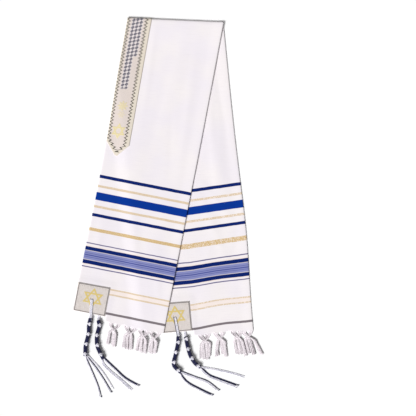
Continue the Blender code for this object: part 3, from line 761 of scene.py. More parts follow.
class Recipe:
    """A Principled material whose colour and bump are worked out by short calls."""

    def __init__(self, name, roughness, sheen=0.0, sheen_roughness=0.5, specular=0.3):
        self.material = bpy.data.materials.new(name)
        self.material.use_nodes = True
        self.nodes = self.material.node_tree.nodes
        self.links = self.material.node_tree.links
        self.shader = self.nodes["Principled BSDF"]
        surface = {
            "Roughness": roughness,
            "Sheen Weight": sheen,
            "Sheen Roughness": sheen_roughness,
            "Specular IOR Level": specular,
        }
        self.fill(self.shader, surface)

    def fill(self, node, inputs):
        """Links a node's inputs, by name or place, to other sockets, or sets their numbers or colours."""
        for key, value in inputs.items():
            socket = node.inputs[key]
            if isinstance(value, bpy.types.NodeSocket):
                self.links.new(value, socket)
            elif socket.type == "RGBA" and len(value) == 3:
                socket.default_value = (*value, 1)
            else:
                socket.default_value = value

    def node(self, kind, inputs, **settings):
        """The outputs of a new node of this kind."""
        node = self.nodes.new("ShaderNode" + kind)
        for name, value in settings.items():
            setattr(node, name, value)
        self.fill(node, inputs)
        return node.outputs

    def math(self, operation, *values, clamp=False):
        return self.node("Math", dict(enumerate(values)), operation=operation, use_clamp=clamp)[0]

    def plus(self, first, second):
        return self.math("ADD", first, second)

    def minus(self, first, second):
        return self.math("SUBTRACT", first, second)

    def times(self, first, second):
        return self.math("MULTIPLY", first, second)

    def most(self, first, *others):
        """The greatest of the values."""
        for other in others:
            first = self.math("MAXIMUM", first, other)
        return first

    def distance(self, x, y):
        """How far a point lies from the origin of x and y."""
        return self.math("SQRT", self.plus(self.math("POWER", x, 2.0), self.math("POWER", y, 2.0)))

    def share(self, value, low, high):
        """0 where the value is low, 1 where it is high, and an even curve between."""
        limits = {"Value": value, "From Min": low, "From Max": high}
        return self.node("MapRange", limits, interpolation_type="SMOOTHSTEP")["Result"]

    def beyond(self, value, limit, soft):
        """0 below a limit and 1 above it, with a soft edge."""
        return self.share(value, limit - soft / 2, limit + soft / 2)

    def within(self, value, limit, soft):
        """1 below a limit and 0 above it, with a soft edge."""
        return self.beyond(value, limit, -soft)

    def line(self, value, middle, width, soft):
        """1 inside a line of this width about the middle value, with a soft edge."""
        off = self.math("ABSOLUTE", self.minus(value, middle))
        return self.minus(1.0, self.beyond(self.minus(off, self.times(width, 0.5)), 0, soft))

    def blend(self, factor, first, second, strength=1):
        """From the first colour, where the factor is 0, to the second one at this strength, where it is 1."""
        if strength != 1:
            factor = self.times(factor, strength)
        return self.node("Mix", {"Factor": factor, 6: first, 7: second}, data_type="RGBA")[2]

    def attribute(self, name):
        return self.node("Attribute", {}, attribute_name=name)["Fac"]

    def flat(self):
        """The piece's own UV map, in metres, as its two numbers."""
        uv = self.node("UVMap", {}, uv_map="flat")["UV"]
        return self.node("SeparateXYZ", {0: uv})[:2]

    def place(self):
        return self.node("TexCoord", {})["Object"]

    def noise(self, place, scale, detail=2.0):
        return self.node("TexNoise", {"Vector": place, "Scale": scale, "Detail": detail})["Fac"]

    def streaks(self, x, y, scale_x, scale_y, detail):
        """Noise with a scale of its own along each of two numbers."""
        place = self.node("CombineXYZ", {0: self.times(x, scale_x), 1: self.times(y, scale_y)})[0]
        return self.noise(place, 1.0, detail)

    def ridges(self, value, pitch):
        """Rounded ridges of the given pitch across a value, from 0 to 1."""
        wave = self.math("SINE", self.times(value, 2 * math.pi / pitch))
        return self.math("MULTIPLY_ADD", wave, 0.5, 0.5)

    def weave(self, across, along, pitch):
        """The height of a plain weave, whose threads go over and under each other in turn."""
        warp, weft = (self.math("SINE", self.times(value, math.pi / pitch)) for value in (across, along))
        return self.math("MULTIPLY_ADD", self.times(warp, weft), 0.5, 0.5)

    def hexagram(self, x, y, inner_radius, line_width, soft):
        """1 on the stitched lines of a six-pointed star of two triangles about the origin of x and y."""
        lines = []
        for way in (1, -1):
            sides = []
            for degrees in (90, 210, 330):
                out = Vector((math.cos(math.radians(degrees)), math.sin(math.radians(degrees)))) * -way
                sides.append(self.plus(self.times(x, out.x), self.times(y, out.y)))
            lines.append(self.line(self.most(*sides), inner_radius, line_width, soft))
        return self.most(*lines)

    def rosette(self, x, y, radius, petals):
        """1 on the petals of a round flower about the origin of x and y."""
        turn = self.times(self.math("ARCTAN2", y, x), petals / 2)
        petal = self.math("ABSOLUTE", self.math("COSINE", turn))
        reach = self.math("MULTIPLY_ADD", petal, 0.55 * radius, 0.45 * radius)
        return self.within(self.minus(self.distance(x, y), reach), 0, 0.0016)

    def finish(self, colour, height=None, distance=0.0, strength=0.0):
        """The material in this colour. A height gives it a bump of this distance and strength."""
        self.fill(self.shader, {"Base Color": colour})
        if height is not None:
            bump = {"Strength": strength, "Distance": distance, "Height": height}
            self.fill(self.shader, {"Normal": self.node("Bump", bump)["Normal"]})
        return self.material


# The finishes


def woven_white():
    """Plain-woven white cloth with its coloured weft stripes, faint slubs and a soft nap."""
    look = bpy.context.scene.shawl_cloth
    recipe = Recipe("woven_white", 0.86, sheen=0.03, sheen_roughness=0.6, specular=0.08)
    across, along = recipe.flat()
    place = recipe.place()
    slub = recipe.streaks(across, along, 26.0, 420.0, 3.0)
    cloud = recipe.share(recipe.noise(place, 9.0), 0.35, 0.65)
    fleck = recipe.share(recipe.noise(place, 420.0, 1.0), 0.45, 0.65)
    colour = recipe.blend(cloud, look.cloth_cool, look.cloth_warm)
    colour = recipe.blend(recipe.share(slub, 0.45, 0.85), colour, look.cloth_shade, 0.30)
    waver = recipe.times(recipe.minus(recipe.noise(place, 60.0, 1.0), 0.5), 0.0011)
    above = recipe.plus(recipe.attribute("above_hem"), waver)
    right_leg = recipe.share(along, -0.1, 0.1)
    flecked = recipe.times(fleck, recipe.math("MULTIPLY_ADD", right_leg, 0.50, 0.20))
    for middle, width, name in STRIPES:
        if name == "broad_gold":
            width = recipe.math("MULTIPLY_ADD", right_leg, GOLD_WIDENING, width)
        light_yarn = getattr(look, name)
        dark_yarn = [value * 0.75 for value in light_yarn]
        yarn = recipe.blend(slub, light_yarn, dark_yarn, 0.4)
        if name in ("pale_gold", "broad_gold"):
            yarn = recipe.blend(flecked, yarn, look.cream)
        colour = recipe.blend(recipe.line(above, HEM_LINE + middle, width, 0.0009), colour, yarn)
    height = recipe.plus(recipe.weave(across, along, look.thread_pitch), recipe.times(slub, 0.8))
    return recipe.finish(colour, height, 0.00016, 0.55)


def neckband_brocade():
    """Silvery brocade: a gold border, a zigzag braid, rows of lozenges, rosettes and a six-pointed star."""
    look = bpy.context.scene.shawl_trim
    recipe = Recipe("neckband_brocade", 0.55, sheen=0.1, specular=0.4)
    across, along = recipe.flat()
    down = recipe.minus(recipe.math("ABSOLUTE", along), CREASE_TURN_LENGTH / 2)
    middle = recipe.minus(across, look.star_across)
    border = recipe.attribute("from_border")
    place = recipe.place()
    grain = recipe.noise(place, 900.0)
    ground = recipe.blend(recipe.noise(place, 45.0), look.band_rose, look.band_silver, 0.4)
    ground = recipe.blend(grain, ground, look.band_shade, 0.25)
    slant = recipe.ridges(recipe.plus(down, across), 0.0030)
    edging = recipe.blend(slant, look.border_gold, look.border_cream)
    edging = recipe.blend(grain, edging, look.band_shade, 0.5)
    colour = recipe.blend(recipe.within(border, BORDER, 0.0016), ground, edging)
    sway = recipe.times(recipe.math("PINGPONG", down, BRAID_STEP), BRAID_SLOPE)
    braid = recipe.line(recipe.minus(border, sway), BRAID_MIDDLE, BRAID_WIDTH, 0.0008)
    braid = recipe.times(braid, recipe.within(down, BRAID_END, 0.0015))
    colour = recipe.blend(braid, colour, look.zigzag)
    row = recipe.math("PINGPONG", recipe.plus(middle, ROW_PITCH / 2), ROW_PITCH / 2)
    step = recipe.math("PINGPONG", recipe.plus(down, recipe.times(middle, 0.25)), LOZENGE_STEP)
    out = recipe.plus(recipe.minus(ROW_PITCH / 2, row), step)
    heart = recipe.within(out, LOZENGE_HEART, 0.0006)
    lozenge = recipe.minus(recipe.within(out, LOZENGE_REACH, 0.0007), heart)
    beside = recipe.within(recipe.math("ABSOLUTE", middle), ROWS_HALF_WIDTH, 0.0008)
    short_row = recipe.beyond(middle, SHORT_ROW_SIDE, 0.0012)
    past_it = recipe.times(short_row, recipe.beyond(down, SHORT_ROW_END, 0.004))
    stretch = recipe.math("SUBTRACT", recipe.within(down, ROWS_END, 0.006), past_it, clamp=True)
    rows = recipe.times(beside, stretch)
    colour = recipe.blend(rows, colour, look.band_silver, 0.6)
    ornament = recipe.times(lozenge, rows)
    colour = recipe.blend(ornament, colour, look.ornament, 0.9)
    above_star = recipe.math("DIVIDE", recipe.minus(look.star_down, down), 1.05)
    star = recipe.hexagram(middle, above_star, 0.0086, 0.0036, 0.0020)
    colour = recipe.blend(star, colour, look.star_gold, 0.75)
    leaf = recipe.rosette(middle, recipe.minus(look.rosette_down, down), 0.0140, 8)
    lower_leaf = recipe.rosette(middle, recipe.minus(look.rosette_down + 0.024, down), 0.0105, 6)
    leaf = recipe.most(leaf, recipe.times(lower_leaf, 0.5))
    colour = recipe.blend(leaf, colour, look.star_gold, 0.5)
    raised = recipe.most(braid, star, ornament, leaf)
    height = recipe.plus(raised, recipe.times(recipe.weave(across, along, 0.0008), 0.5))
    return recipe.finish(colour, height, 0.0004, 0.6)


def patch_linen():
    """Beige linen with a stitched outline, a dotted row inside it and a gold star about the eyelet."""
    look = bpy.context.scene.shawl_trim
    recipe = Recipe("patch_linen", 0.82, sheen=0.08, specular=0.2)
    x, y = recipe.flat()
    edge = recipe.attribute("from_border")
    place = recipe.place()
    threads = recipe.plus(recipe.streaks(x, y, 90.0, 1100.0, 2.0), recipe.streaks(x, y, 1100.0, 90.0, 2.0))
    linen = recipe.times(threads, 0.5)
    colour = recipe.blend(recipe.share(linen, 0.36, 0.64), look.linen_shade, look.linen)
    colour = recipe.blend(recipe.noise(place, 60.0), colour, look.linen_light, 0.35)
    outline = recipe.line(edge, 0.0026, 0.0019, 0.0008)
    colour = recipe.blend(outline, colour, look.outline)
    run = recipe.plus(recipe.ridges(x, 0.0042), recipe.ridges(y, 0.0042))
    dots = recipe.times(recipe.line(edge, 0.0062, 0.0010, 0.0005), recipe.share(run, 0.95, 1.25))
    colour = recipe.blend(dots, colour, look.outline, 0.7)
    star_x = recipe.math("DIVIDE", recipe.minus(x, PATCH_WIDTH / 2 + STAR_ASIDE), STAR_STRETCH)
    star_y = recipe.minus(y, EYELET_ABOVE_HEM + STAR_ABOVE)
    star = recipe.hexagram(star_x, star_y, 0.0120, 0.0044, 0.0016)
    star = recipe.times(star, recipe.within(recipe.distance(star_x, star_y), STAR_REACH, 0.0025))
    gold = recipe.blend(recipe.noise(place, 1400.0, 1.0), look.star_gold, look.star_gold_deep)
    colour = recipe.blend(star, colour, gold)
    height = recipe.plus(recipe.times(linen, 0.8), recipe.plus(star, outline))
    return recipe.finish(colour, height, 0.0004, 0.6)


def yarn_finish(name, light, shade, lit=0.5):
    """Spun yarn: streaks of light and shade, fuzzy all over. The shade starts above the lit share."""
    recipe = Recipe(name, 0.85, sheen=0.15, sheen_roughness=0.6, specular=0.2)
    place = recipe.place()
    streak = recipe.share(recipe.noise(place, 260.0), lit - 0.12, lit + 0.16)
    return recipe.finish(recipe.blend(streak, light, shade), recipe.noise(place, 2600.0), 0.00020, 0.45)


def table_finish(colour):
    recipe = Recipe("pale_table", 0.9, specular=0.1)
    return recipe.finish(recipe.blend(recipe.noise(recipe.place(), 6.0), colour, (0.90, 0.90, 0.90), 0.04))


# What a user would change


def colour_setting(name, description, *screen):
    colour = screen_colour(*screen)
    return FloatVectorProperty(
        name=name, description=description, subtype="COLOR", size=3, min=0, max=1, default=colour
    )


def length_setting(name, description, metres):
    return FloatProperty(name=name, description=description, default=metres, unit="LENGTH")


def angle_setting(name, description, degrees):
    return FloatProperty(name=name, description=description, default=math.radians(degrees), unit="ROTATION")


def plain_setting(name, description, value):
    return FloatProperty(name=name, description=description, default=value, min=0)


class ShawlClothSettings(PropertyGroup):
    """Sizes and yarns of the woven cloth."""

    thickness: length_setting("Thickness", "The cloth's wall", 0.0010)
    cell: length_setting("Cell", "Size of the cells across", 0.0042)
    cell_along: length_setting("Cell along", "Their size along", 0.0066)
    fold_depth: plain_setting("Fold depth", "How strongly the creases stand out", 1.0)
    thread_pitch: length_setting("Thread pitch", "Between two threads", 0.0011)
    cloth_cool: colour_setting("Cool white", "The ground's cooler white", 240, 234, 240)
    cloth_warm: colour_setting("Warm white", "The ground's warmer white", 244, 238, 239)
    cloth_shade: colour_setting("Slub", "The slubs in the ground", 226, 219, 226)
    navy: colour_setting("Navy", "The narrow dark stripes", 4, 33, 106)
    royal: colour_setting("Royal blue", "The broad stripe", 0, 53, 149)
    lavender: colour_setting("Lavender", "The broad soft stripe", 137, 142, 195)
    deep_lavender: colour_setting("Deep lavender", "The dark lines in the soft stripe", 74, 84, 154)
    light_line: colour_setting("Light line", "The pale edges of the soft stripe", 212, 204, 210)
    pale_gold: colour_setting("Pale gold", "The thin gold stripes", 225, 204, 174)
    broad_gold: colour_setting("Gold", "The broader gold stripe", 216, 186, 134)
    cream: colour_setting("Cream", "The cream between two gold stripes", 250, 237, 232)
    hairline: colour_setting("Hairline", "The thin grey stripes", 118, 113, 148)
    hem_grey: colour_setting("Hem grey", "The grey stripe near the hem", 128, 119, 124)


class ShawlTrimSettings(PropertyGroup):
    """Sizes and colours of the neckband and the corner patches."""

    thickness: length_setting("Thickness", "Wall of the sewn pieces", 0.0008)
    cell: length_setting("Cell", "Size of the sewn pieces' cells", 0.0025)
    star_down: length_setting("Star down", "From the crease to the star", 0.3095)
    star_across: length_setting("Star across", "From the edge to it", 0.0285)
    rosette_down: length_setting("Rosette", "From the crease to it", 0.240)
    band_rose: colour_setting("Band rose", "The band's warmer ground", 228, 214, 206)
    band_silver: colour_setting("Band silver", "The band's cooler ground", 219, 213, 216)
    band_shade: colour_setting("Band shade", "The shade in the band's grain", 198, 184, 170)
    border_gold: colour_setting("Border gold", "The border's gold thread", 226, 217, 198)
    border_cream: colour_setting("Border cream", "The border's light thread", 244, 234, 222)
    zigzag: colour_setting("Zigzag", "The dark braid inside the border", 60, 56, 40)
    ornament: colour_setting("Lozenges", "The rows of small lozenges", 58, 58, 84)
    linen: colour_setting("Linen", "The patches' linen", 226, 218, 214)
    linen_shade: colour_setting("Linen shade", "The linen's darker threads", 200, 190, 184)
    linen_light: colour_setting("Linen light", "The linen's paler places", 234, 226, 224)
    outline: colour_setting("Outline", "The stitched outline", 118, 112, 112)
    star_gold: colour_setting("Star gold", "The embroidered stars", 230, 214, 140)
    star_gold_deep: colour_setting("Deep gold", "The shade in the stars' thread", 204, 174, 108)


class ShawlCordSettings(PropertyGroup):
    """Sizes and yarns of the fringes and the tassels."""

    thread: length_setting("Fringe thread", "Radius of a gathered thread", 0.0010)
    arm_threads: IntProperty(name="Threads", description="Threads gathered from each side", default=4, min=2)
    lock_threads: IntProperty(name="Lock threads", description="Threads in one lock", default=6, min=2)
    winding: length_setting("Winding", "Radius of the wound cord", 0.00105)
    seed: IntProperty(name="Seed", description="Start of the threads' irregularity", default=7)
    yarn: colour_setting("Fringe yarn", "The fringe's white yarn", 240, 232, 237)
    # Painted shade: the darker yarn of the last thread on each lock's right side and of some other threads,
    # standing in for the shadows between the locks
    yarn_dark: colour_setting("Fringe dark", "The dull threads beside the locks", 142, 134, 138)
    yarn_shade: colour_setting("Fringe shade", "The shade in the fringe's yarn", 212, 204, 210)
    white_cord: colour_setting("White cord", "The tassels' white cord", 248, 245, 252)
    white_cord_shade: colour_setting("White shade", "The shade in the white cord", 214, 214, 228)
    dark_cord: colour_setting("Dark cord", "The tassels' dark cord", 10, 13, 58)
    dark_cord_shade: colour_setting("Dark shade", "The shade in the dark cord", 24, 30, 84)


class ShawlStageSettings(PropertyGroup):
    """The table, the lights and the camera above it."""

    table_size: length_setting("Table", "Half width of the pale table", 15.0)
    table_colour: colour_setting("Table colour", "The pale table", 254, 254, 254)
    frame_width: length_setting("Frame", "Width that the camera sees", 1.1232)
    focal_length: plain_setting("Lens", "Focal length in millimetres", 100)
    sun_power: plain_setting("Sun", "Strength of the main soft light", 3.42)
    sun_side: angle_setting("Sun side", "From below the picture towards its left", 46)
    sun_height: angle_setting("Sun height", "Above the table", 50)
    sun_softness: angle_setting("Sun softness", "Its breadth", 24)
    sky_power: plain_setting("Sky", "Strength of the even light all round", 0.2)


# The pieces


class SHAWL_OT_cloth(Operator):
    """Weaves the shawl's one sheet and lays it down folded"""

    bl_idname = "shawl.cloth"
    bl_label = "Cloth"

    def execute(self, context):
        look = context.scene.shawl_cloth
        turn = CREASE_TURN_LENGTH / 2
        left_end, right_end = leg_along(LEFT, LEFT.length), leg_along(RIGHT, RIGHT.length)
        stops = (left_end - FRINGE_STRIP, left_end, -turn, turn, right_end, right_end + FRINGE_STRIP)
        rows = steps_through(stops, (FRAY_STEP, look.cell_along, CREASE_STEP, look.cell_along, FRAY_STEP))

        def lay(along, column):
            """Beyond a hem, the rows follow the edge of the gathered threads."""
            across, outer, run = column
            leg, end = (LEFT, left_end) if along < 0 else (RIGHT, right_end)
            beyond = abs(along) - abs(end)
            if beyond > 0:
                along = end + math.copysign(beyond / FRINGE_STRIP * strip_reach(leg, across, outer), end)
            return cloth_point(across, along, outer), (run, along), stripe_place(across, along)

        def spare(along, column):
            return column[0] < PATCH_WIDTH and not left_end - HEM_SLACK < along < right_end + HEM_SLACK

        columns = strip_columns(look.cell)
        mesh = grid_mesh("cloth", woven_white(), rows, columns, lay, "above_hem", spare=spare)
        give_wall(finish_piece("cloth", mesh, "shawl_cloth"), look.thickness)
        return {"FINISHED"}


def band_tip(across):
    """How far down the band's pointed end reaches at a place across it."""
    for (start, high), (end, low) in zip(BAND_POINT, BAND_POINT[1:]):
        if across <= end:
            return mix(high, low, (across - start) / (end - start))
    return BAND_POINT[-1][1]


def band_border(across, down):
    """How far a point of the band lies inside its border, which is narrow along the neck and wide beyond."""
    away = min(across + BORDER_INWARD, BAND_WIDTH - across - BORDER_OUTWARD)
    for (start, high), (end, low) in zip(BAND_POINT, BAND_POINT[1:]):
        slope = (low - high) / (end - start)
        line_down = high + slope * (across - start)
        away = min(away, (line_down - down) / math.hypot(1, slope))
    return away


class SHAWL_OT_neckband(Operator):
    """Lays the brocade band on the neck edge, over the crease, with a point on each leg"""

    bl_idname = "shawl.neckband"
    bl_label = "Neckband"

    def execute(self, context):
        look = context.scene.shawl_trim
        stops = (BAND_START, BAND_POINT[1][0], BAND_POINT[2][0], BAND_WIDTH)
        columns = steps_through(stops, (look.cell, BAND_WIDTH, look.cell))
        turn = CREASE_TURN_LENGTH / 2
        longest = BAND_POINT[1][1]
        end = turn + longest
        rows = steps_through((-end, -turn, turn, end), (look.cell, CREASE_STEP, look.cell))

        def lay(along, across):
            """Past the crease, the rows close up where the band's own end is nearer."""
            down = abs(along) - turn
            if down > 0:
                down *= band_tip(across) / longest
            along = math.copysign(turn + down, along)
            return above_cloth(across, along, 1, TRIM_RISE), (across, along), band_border(across, down)

        mesh = grid_mesh("band", neckband_brocade(), rows, columns, lay, "from_border")
        give_wall(finish_piece("band", mesh, "neckband"), look.thickness)
        return {"FINISHED"}


def patch_outline(step):
    """Places round a patch's edge, as (across, above the hem), back to the first one."""
    low = Vector((PATCH_INSET, PATCH_INSET))
    high = Vector((PATCH_WIDTH - PATCH_INSET, PATCH_HEIGHT))
    corners = (low, Vector((high.x, low.y)), high, Vector((low.x, high.y)))
    outline = []
    for start, end in zip(corners, corners[1:] + corners[:1]):
        shares = steps_between(0, 1, step / (end - start).length)
        outline += [start.lerp(end, share) for share in shares[:-1]]
    return outline + [outline[0]]


def patch_spot(share, edge):
    """A place on a patch, from the eyelet's rim, 0, to a place on its edge, 1."""
    middle = Vector((PATCH_WIDTH / 2, EYELET_ABOVE_HEM))
    rim = middle + (edge - middle).normalized() * EYELET_RADIUS
    return rim.lerp(edge, share)


def patch_border(spot):
    """How far a place on a patch lies from the patch's nearest edge."""
    beside = min(spot.x, PATCH_WIDTH - spot.x, spot.y) - PATCH_INSET
    return min(beside, PATCH_HEIGHT - spot.y)


def eyelet_strand(leg, outer, rise):
    """A thread wound round an eyelet's rim, stitch beside stitch."""
    ring = []
    for i in range(EYELET_POINTS + 1):
        angle = 2 * math.pi * i / EYELET_POINTS
        across = PATCH_WIDTH / 2 + EYELET_RING * math.cos(angle)
        down = leg.length - EYELET_ABOVE_HEM + EYELET_RING * math.sin(angle)
        ring.append(above_cloth(across, leg_along(leg, down), outer, rise))
    return winding(ring, EYELET_THREAD, 2.5 * EYELET_THREAD, EYELET_THREAD, 0, points_per_turn=6, flatten=1)


class SHAWL_OT_corner_patches(Operator):
    """Sews a linen patch with a stitched eyelet on each corner, two of them underneath"""

    bl_idname = "shawl.corner_patches"
    bl_label = "Corner patches"

    def execute(self, context):
        look = context.scene.shawl_trim
        linen = patch_linen()
        thread = yarn_finish("eyelet_thread", look.star_gold, look.star_gold_deep)
        shares = steps_between(0, 1, PATCH_STEP)
        outline = patch_outline(look.cell * 1.2)
        for number, (leg, outer) in enumerate(((LEFT, 1), (LEFT, 0), (RIGHT, 0), (RIGHT, 1)), 1):

            def lay(share, edge):
                spot = patch_spot(share, edge)
                place = above_cloth(spot.x, leg_along(leg, leg.length - spot.y), outer, TRIM_RISE)
                return place, spot, patch_border(spot)

            node = f"corner_patch_{number}"
            mesh = grid_mesh(f"patch_{number}", linen, shares, outline, lay, "from_border", closed=True)
            give_wall(finish_piece(f"patch_{number}", mesh, node), look.thickness)
            rise = TRIM_RISE + EYELET_LIFT * upper_share(leg, outer)
            ring = strand_mesh(f"eyelet_{number}", [thread], [eyelet_strand(leg, outer, rise)])
            finish_piece(f"eyelet_{number}", ring, node)
        return {"FINISHED"}


def bundle_across(tuft, side):
    """Where across the cloth one of a tuft's two bundles of threads is gathered."""
    return min(tuft.across + side * BUNDLE_SPREAD, STRIP_WIDTH - BUNDLE_FOLD_GAP)


def strip_reach(leg, across, outer):
    """How far the unwoven edge reaches below the hem. It is longest where its threads are gathered."""
    reaches = []
    for layer in (0, 1):
        tufts = [tuft for tuft in TUFTS if tuft.leg is leg and tuft.outer == layer]
        off = min(abs(across - bundle_across(tuft, side)) for tuft in tufts for side in (-1, 1))
        reaches.append(FRINGE_STRIP * mix(FRAY_SHORTEST, 1, math.exp(-((off / FRAY_PEAK) ** 2))))
    return mix(*reaches, outer)


def gathered_arms(tuft, knot, look, chance):
    """The two thick arms of threads that leave the frayed edge and meet in a tuft's knot."""
    leg = tuft.leg
    sideways = leg_axes(leg)[1].to_3d()
    arms = []
    for side in (-1, 1):
        root_across = bundle_across(tuft, side)
        for k in range(look.arm_threads):
            apart = k - (look.arm_threads - 1) / 2
            across = min(root_across + apart * look.thread * ARM_PITCH, STRIP_WIDTH - ARM_FOLD_GAP)
            down = leg.length + strip_reach(leg, across, tuft.outer) - ARM_INSIDE
            root = leg_point(leg, across, tuft.outer, down)
            edge = leg_point(leg, mix(across, root_across, ARM_DRAWN), tuft.outer, down + ARM_OUT)
            goal = knot + sideways * (apart * ARM_KNOT_PITCH - side * ARM_KNOT_SIDE)
            goal += UP * chance.uniform(-0.0004, 0.0006)
            middle = edge.lerp(goal, 0.5) + sideways * (side * ARM_BULGE)
            middle += UP * chance.uniform(0.0002, 0.0008)
            line = lifted(curve_through([root, edge, middle, goal], 4), TABLE_GAP + look.thread)
            # Some arm threads take the darker yarn, as painted shade
            arms.append(even_strand(line, look.thread, int(chance.random() < PAINTED_SHADE_ARMS)))
    return arms


def lock_strands(tuft, lock, knot, look, chance):
    """A flat lock: threads that lie side by side, in a loose twist, from the knot to their cut ends."""
    leg = tuft.leg
    root, tip, length = lock
    upper = upper_share(leg, tuft.outer)
    end = leg.length + FRINGE_STRIP
    lowest = TABLE_GAP + look.thread
    high = base(leg, tuft.across, end) + lowest + upper * LOCK_ROOT_LIFT
    low = lowest + upper * LOCK_TIP_LIFT
    last = look.lock_threads - 1
    threads = []
    for k in range(look.lock_threads):
        apart = (k - last / 2) * look.thread * LOCK_PITCH
        crown = math.cos(math.pi * (k / last - 0.5)) * look.thread
        cut = chance.uniform(LOCK_SHORTEST, 1)
        points = [knot + leg_axes(leg)[1].to_3d() * (root * 0.35 + apart * 0.45) + UP * (crown - 0.0006)]
        for share in LOCK_SHARES:
            sway = chance.uniform(-0.0004, 0.0004)
            aside = mix(root, tip, share) + apart * mix(0.9, 1.05, share) + sway
            spot = plan(leg, tuft.across + aside, end + KNOT_DROP + length * share * cut).to_3d()
            points.append(spot + UP * (mix(high, low, share) + crown))
        line = lifted(curve_through(points, 4), lowest)
        radii = [look.thread * mix(1, LOCK_TIP_THREAD, i / (len(line) - 1)) for i in range(len(line))]
        # The lock's last thread, on its right side, and some others take the darker yarn: painted shadow
        # beside each lock
        threads.append(Strand(line, radii, int(k == last or chance.random() < PAINTED_SHADE_THREADS)))
    return threads


def tuft_strands(tuft, look, chance):
    """The threads that gather in a knot, the knot, and the locks that hang from it."""
    leg = tuft.leg
    end = leg.length + FRINGE_STRIP
    root_height = leg_point(leg, tuft.across, tuft.outer, end).z + KNOT_RISE
    height = max(base(leg, tuft.across, end) + TABLE_GAP + KNOT_RADIUS, root_height)
    height += upper_share(leg, tuft.outer) * KNOT_UPPER_LIFT
    downward, sideways = (axis.to_3d() for axis in leg_axes(leg))
    knot = plan(leg, tuft.across, end + KNOT_DROP - KNOT_PULL).to_3d() + UP * height
    strands = gathered_arms(tuft, knot, look, chance)
    turned = Matrix.Rotation(chance.uniform(-0.5, 0.5), 3, "Z")
    loop = knot_line(knot, turned @ downward, turned @ sideways, UP, TUFT_KNOT, 24)
    strands.append(even_strand(loop, TUFT_KNOT_CORD, 0))
    for lock in tuft.locks:
        strands += lock_strands(tuft, lock, knot, look, chance)
    return strands


class SHAWL_OT_fringes(Operator):
    """Gathers the threads of the two frayed hems in knots and lets their locks hang down"""

    bl_idname = "shawl.fringes"
    bl_label = "Fringes"

    def execute(self, context):
        look = context.scene.shawl_cord
        light = yarn_finish("fringe_yarn", look.yarn, look.yarn_shade, lit=0.62)
        # The darker copy of the yarn, for painted shade among the threads
        shaded = yarn_finish("fringe_yarn_shaded", look.yarn_dark, look.yarn_shade)
        chance = random.Random(look.seed)
        for leg in (LEFT, RIGHT):
            tufts = [tuft_strands(tuft, look, chance) for tuft in TUFTS if tuft.leg is leg]
            mesh = strand_mesh(f"tufts_{leg.name}", [light, shaded], sum(tufts, []))
            finish_piece(f"tufts_{leg.name}", mesh, f"fringe_{leg.name}")
        return {"FINISHED"}


def place_at(line, run):
    """The frame of a line so far along it."""
    fine = resampled(line, 200)
    return frames_along(fine)[min(round(run / length_of(line) * 199), 199)]


def head_strands(tassel, line, look):
    """The dark windings of a tassel's head over its core, and the white knots along it."""
    radius = HEAD_RADIUS - look.winding
    strands = [even_strand(line, radius, 0), winding(line, radius, look.winding * 2, look.winding, 0)]
    run, way = tassel.first_knot, 1
    while run < length_of(line) - HEAD_END_GAP:
        middle, ahead, side, over = place_at(line, run)
        wrapped = [middle - ahead * WRAP_HALF, middle, middle + ahead * WRAP_HALF]
        strands.append(winding(wrapped, HEAD_KNOT_RADIUS, WRAP_PITCH, WRAP_CORD, 1))
        lump = middle + over * HEAD_LUMP_RISE + side * (HEAD_LUMP_SWAY * way)
        loop = knot_line(lump, ahead, side, over, HEAD_LUMP, 26)
        strands.append(even_strand(loop, HEAD_LUMP_CORD, 1))
        run += HEAD_KNOT_PITCH
        way = -way
    return strands


def string_strands(tassel, line):
    """The loose strings, two plies each, from the head's end to their tips."""
    strands = []
    for number, bundle in enumerate(tassel.bundles):
        route = [Vector((x, y, STRING_RADIUS + TABLE_GAP + BUNDLE_LIFT * number)) for x, y in bundle.line]
        for i in range(bundle.strings):
            place = i - (bundle.strings - 1) / 2
            spots = [line[-2] + UP * (0.0004 * place)]
            for k, spot in enumerate(route):
                ahead = route[min(k + 1, len(route) - 1)] - route[max(k - 1, 0)]
                apart = mix(STRING_ROOT_PITCH, STRING_TIP_PITCH, k / (len(route) - 1))
                spots.append(spot + ahead.normalized().cross(UP) * (place * apart))
            spots[-1] += (spots[-1] - spots[-2]).normalized() * (STRING_END_SPREAD * math.cos(3 * i))
            paint = 0 if i < bundle.dark else 1
            laid = lifted(curve_through(spots, 6), TABLE_GAP + STRING_PLY + STRING_TWIST)
            strands += twisted(laid, STRING_TWIST, STRING_PLY, paint, i, points_per_turn=4)
            if paint == 0:
                _, ahead, side, over = frames_along(spots)[-1]
                loop = knot_line(spots[-1] + UP * 0.0006, ahead, side, over, END_KNOT, 16)
                strands.append(even_strand(loop, END_KNOT_CORD, 0))
    return strands


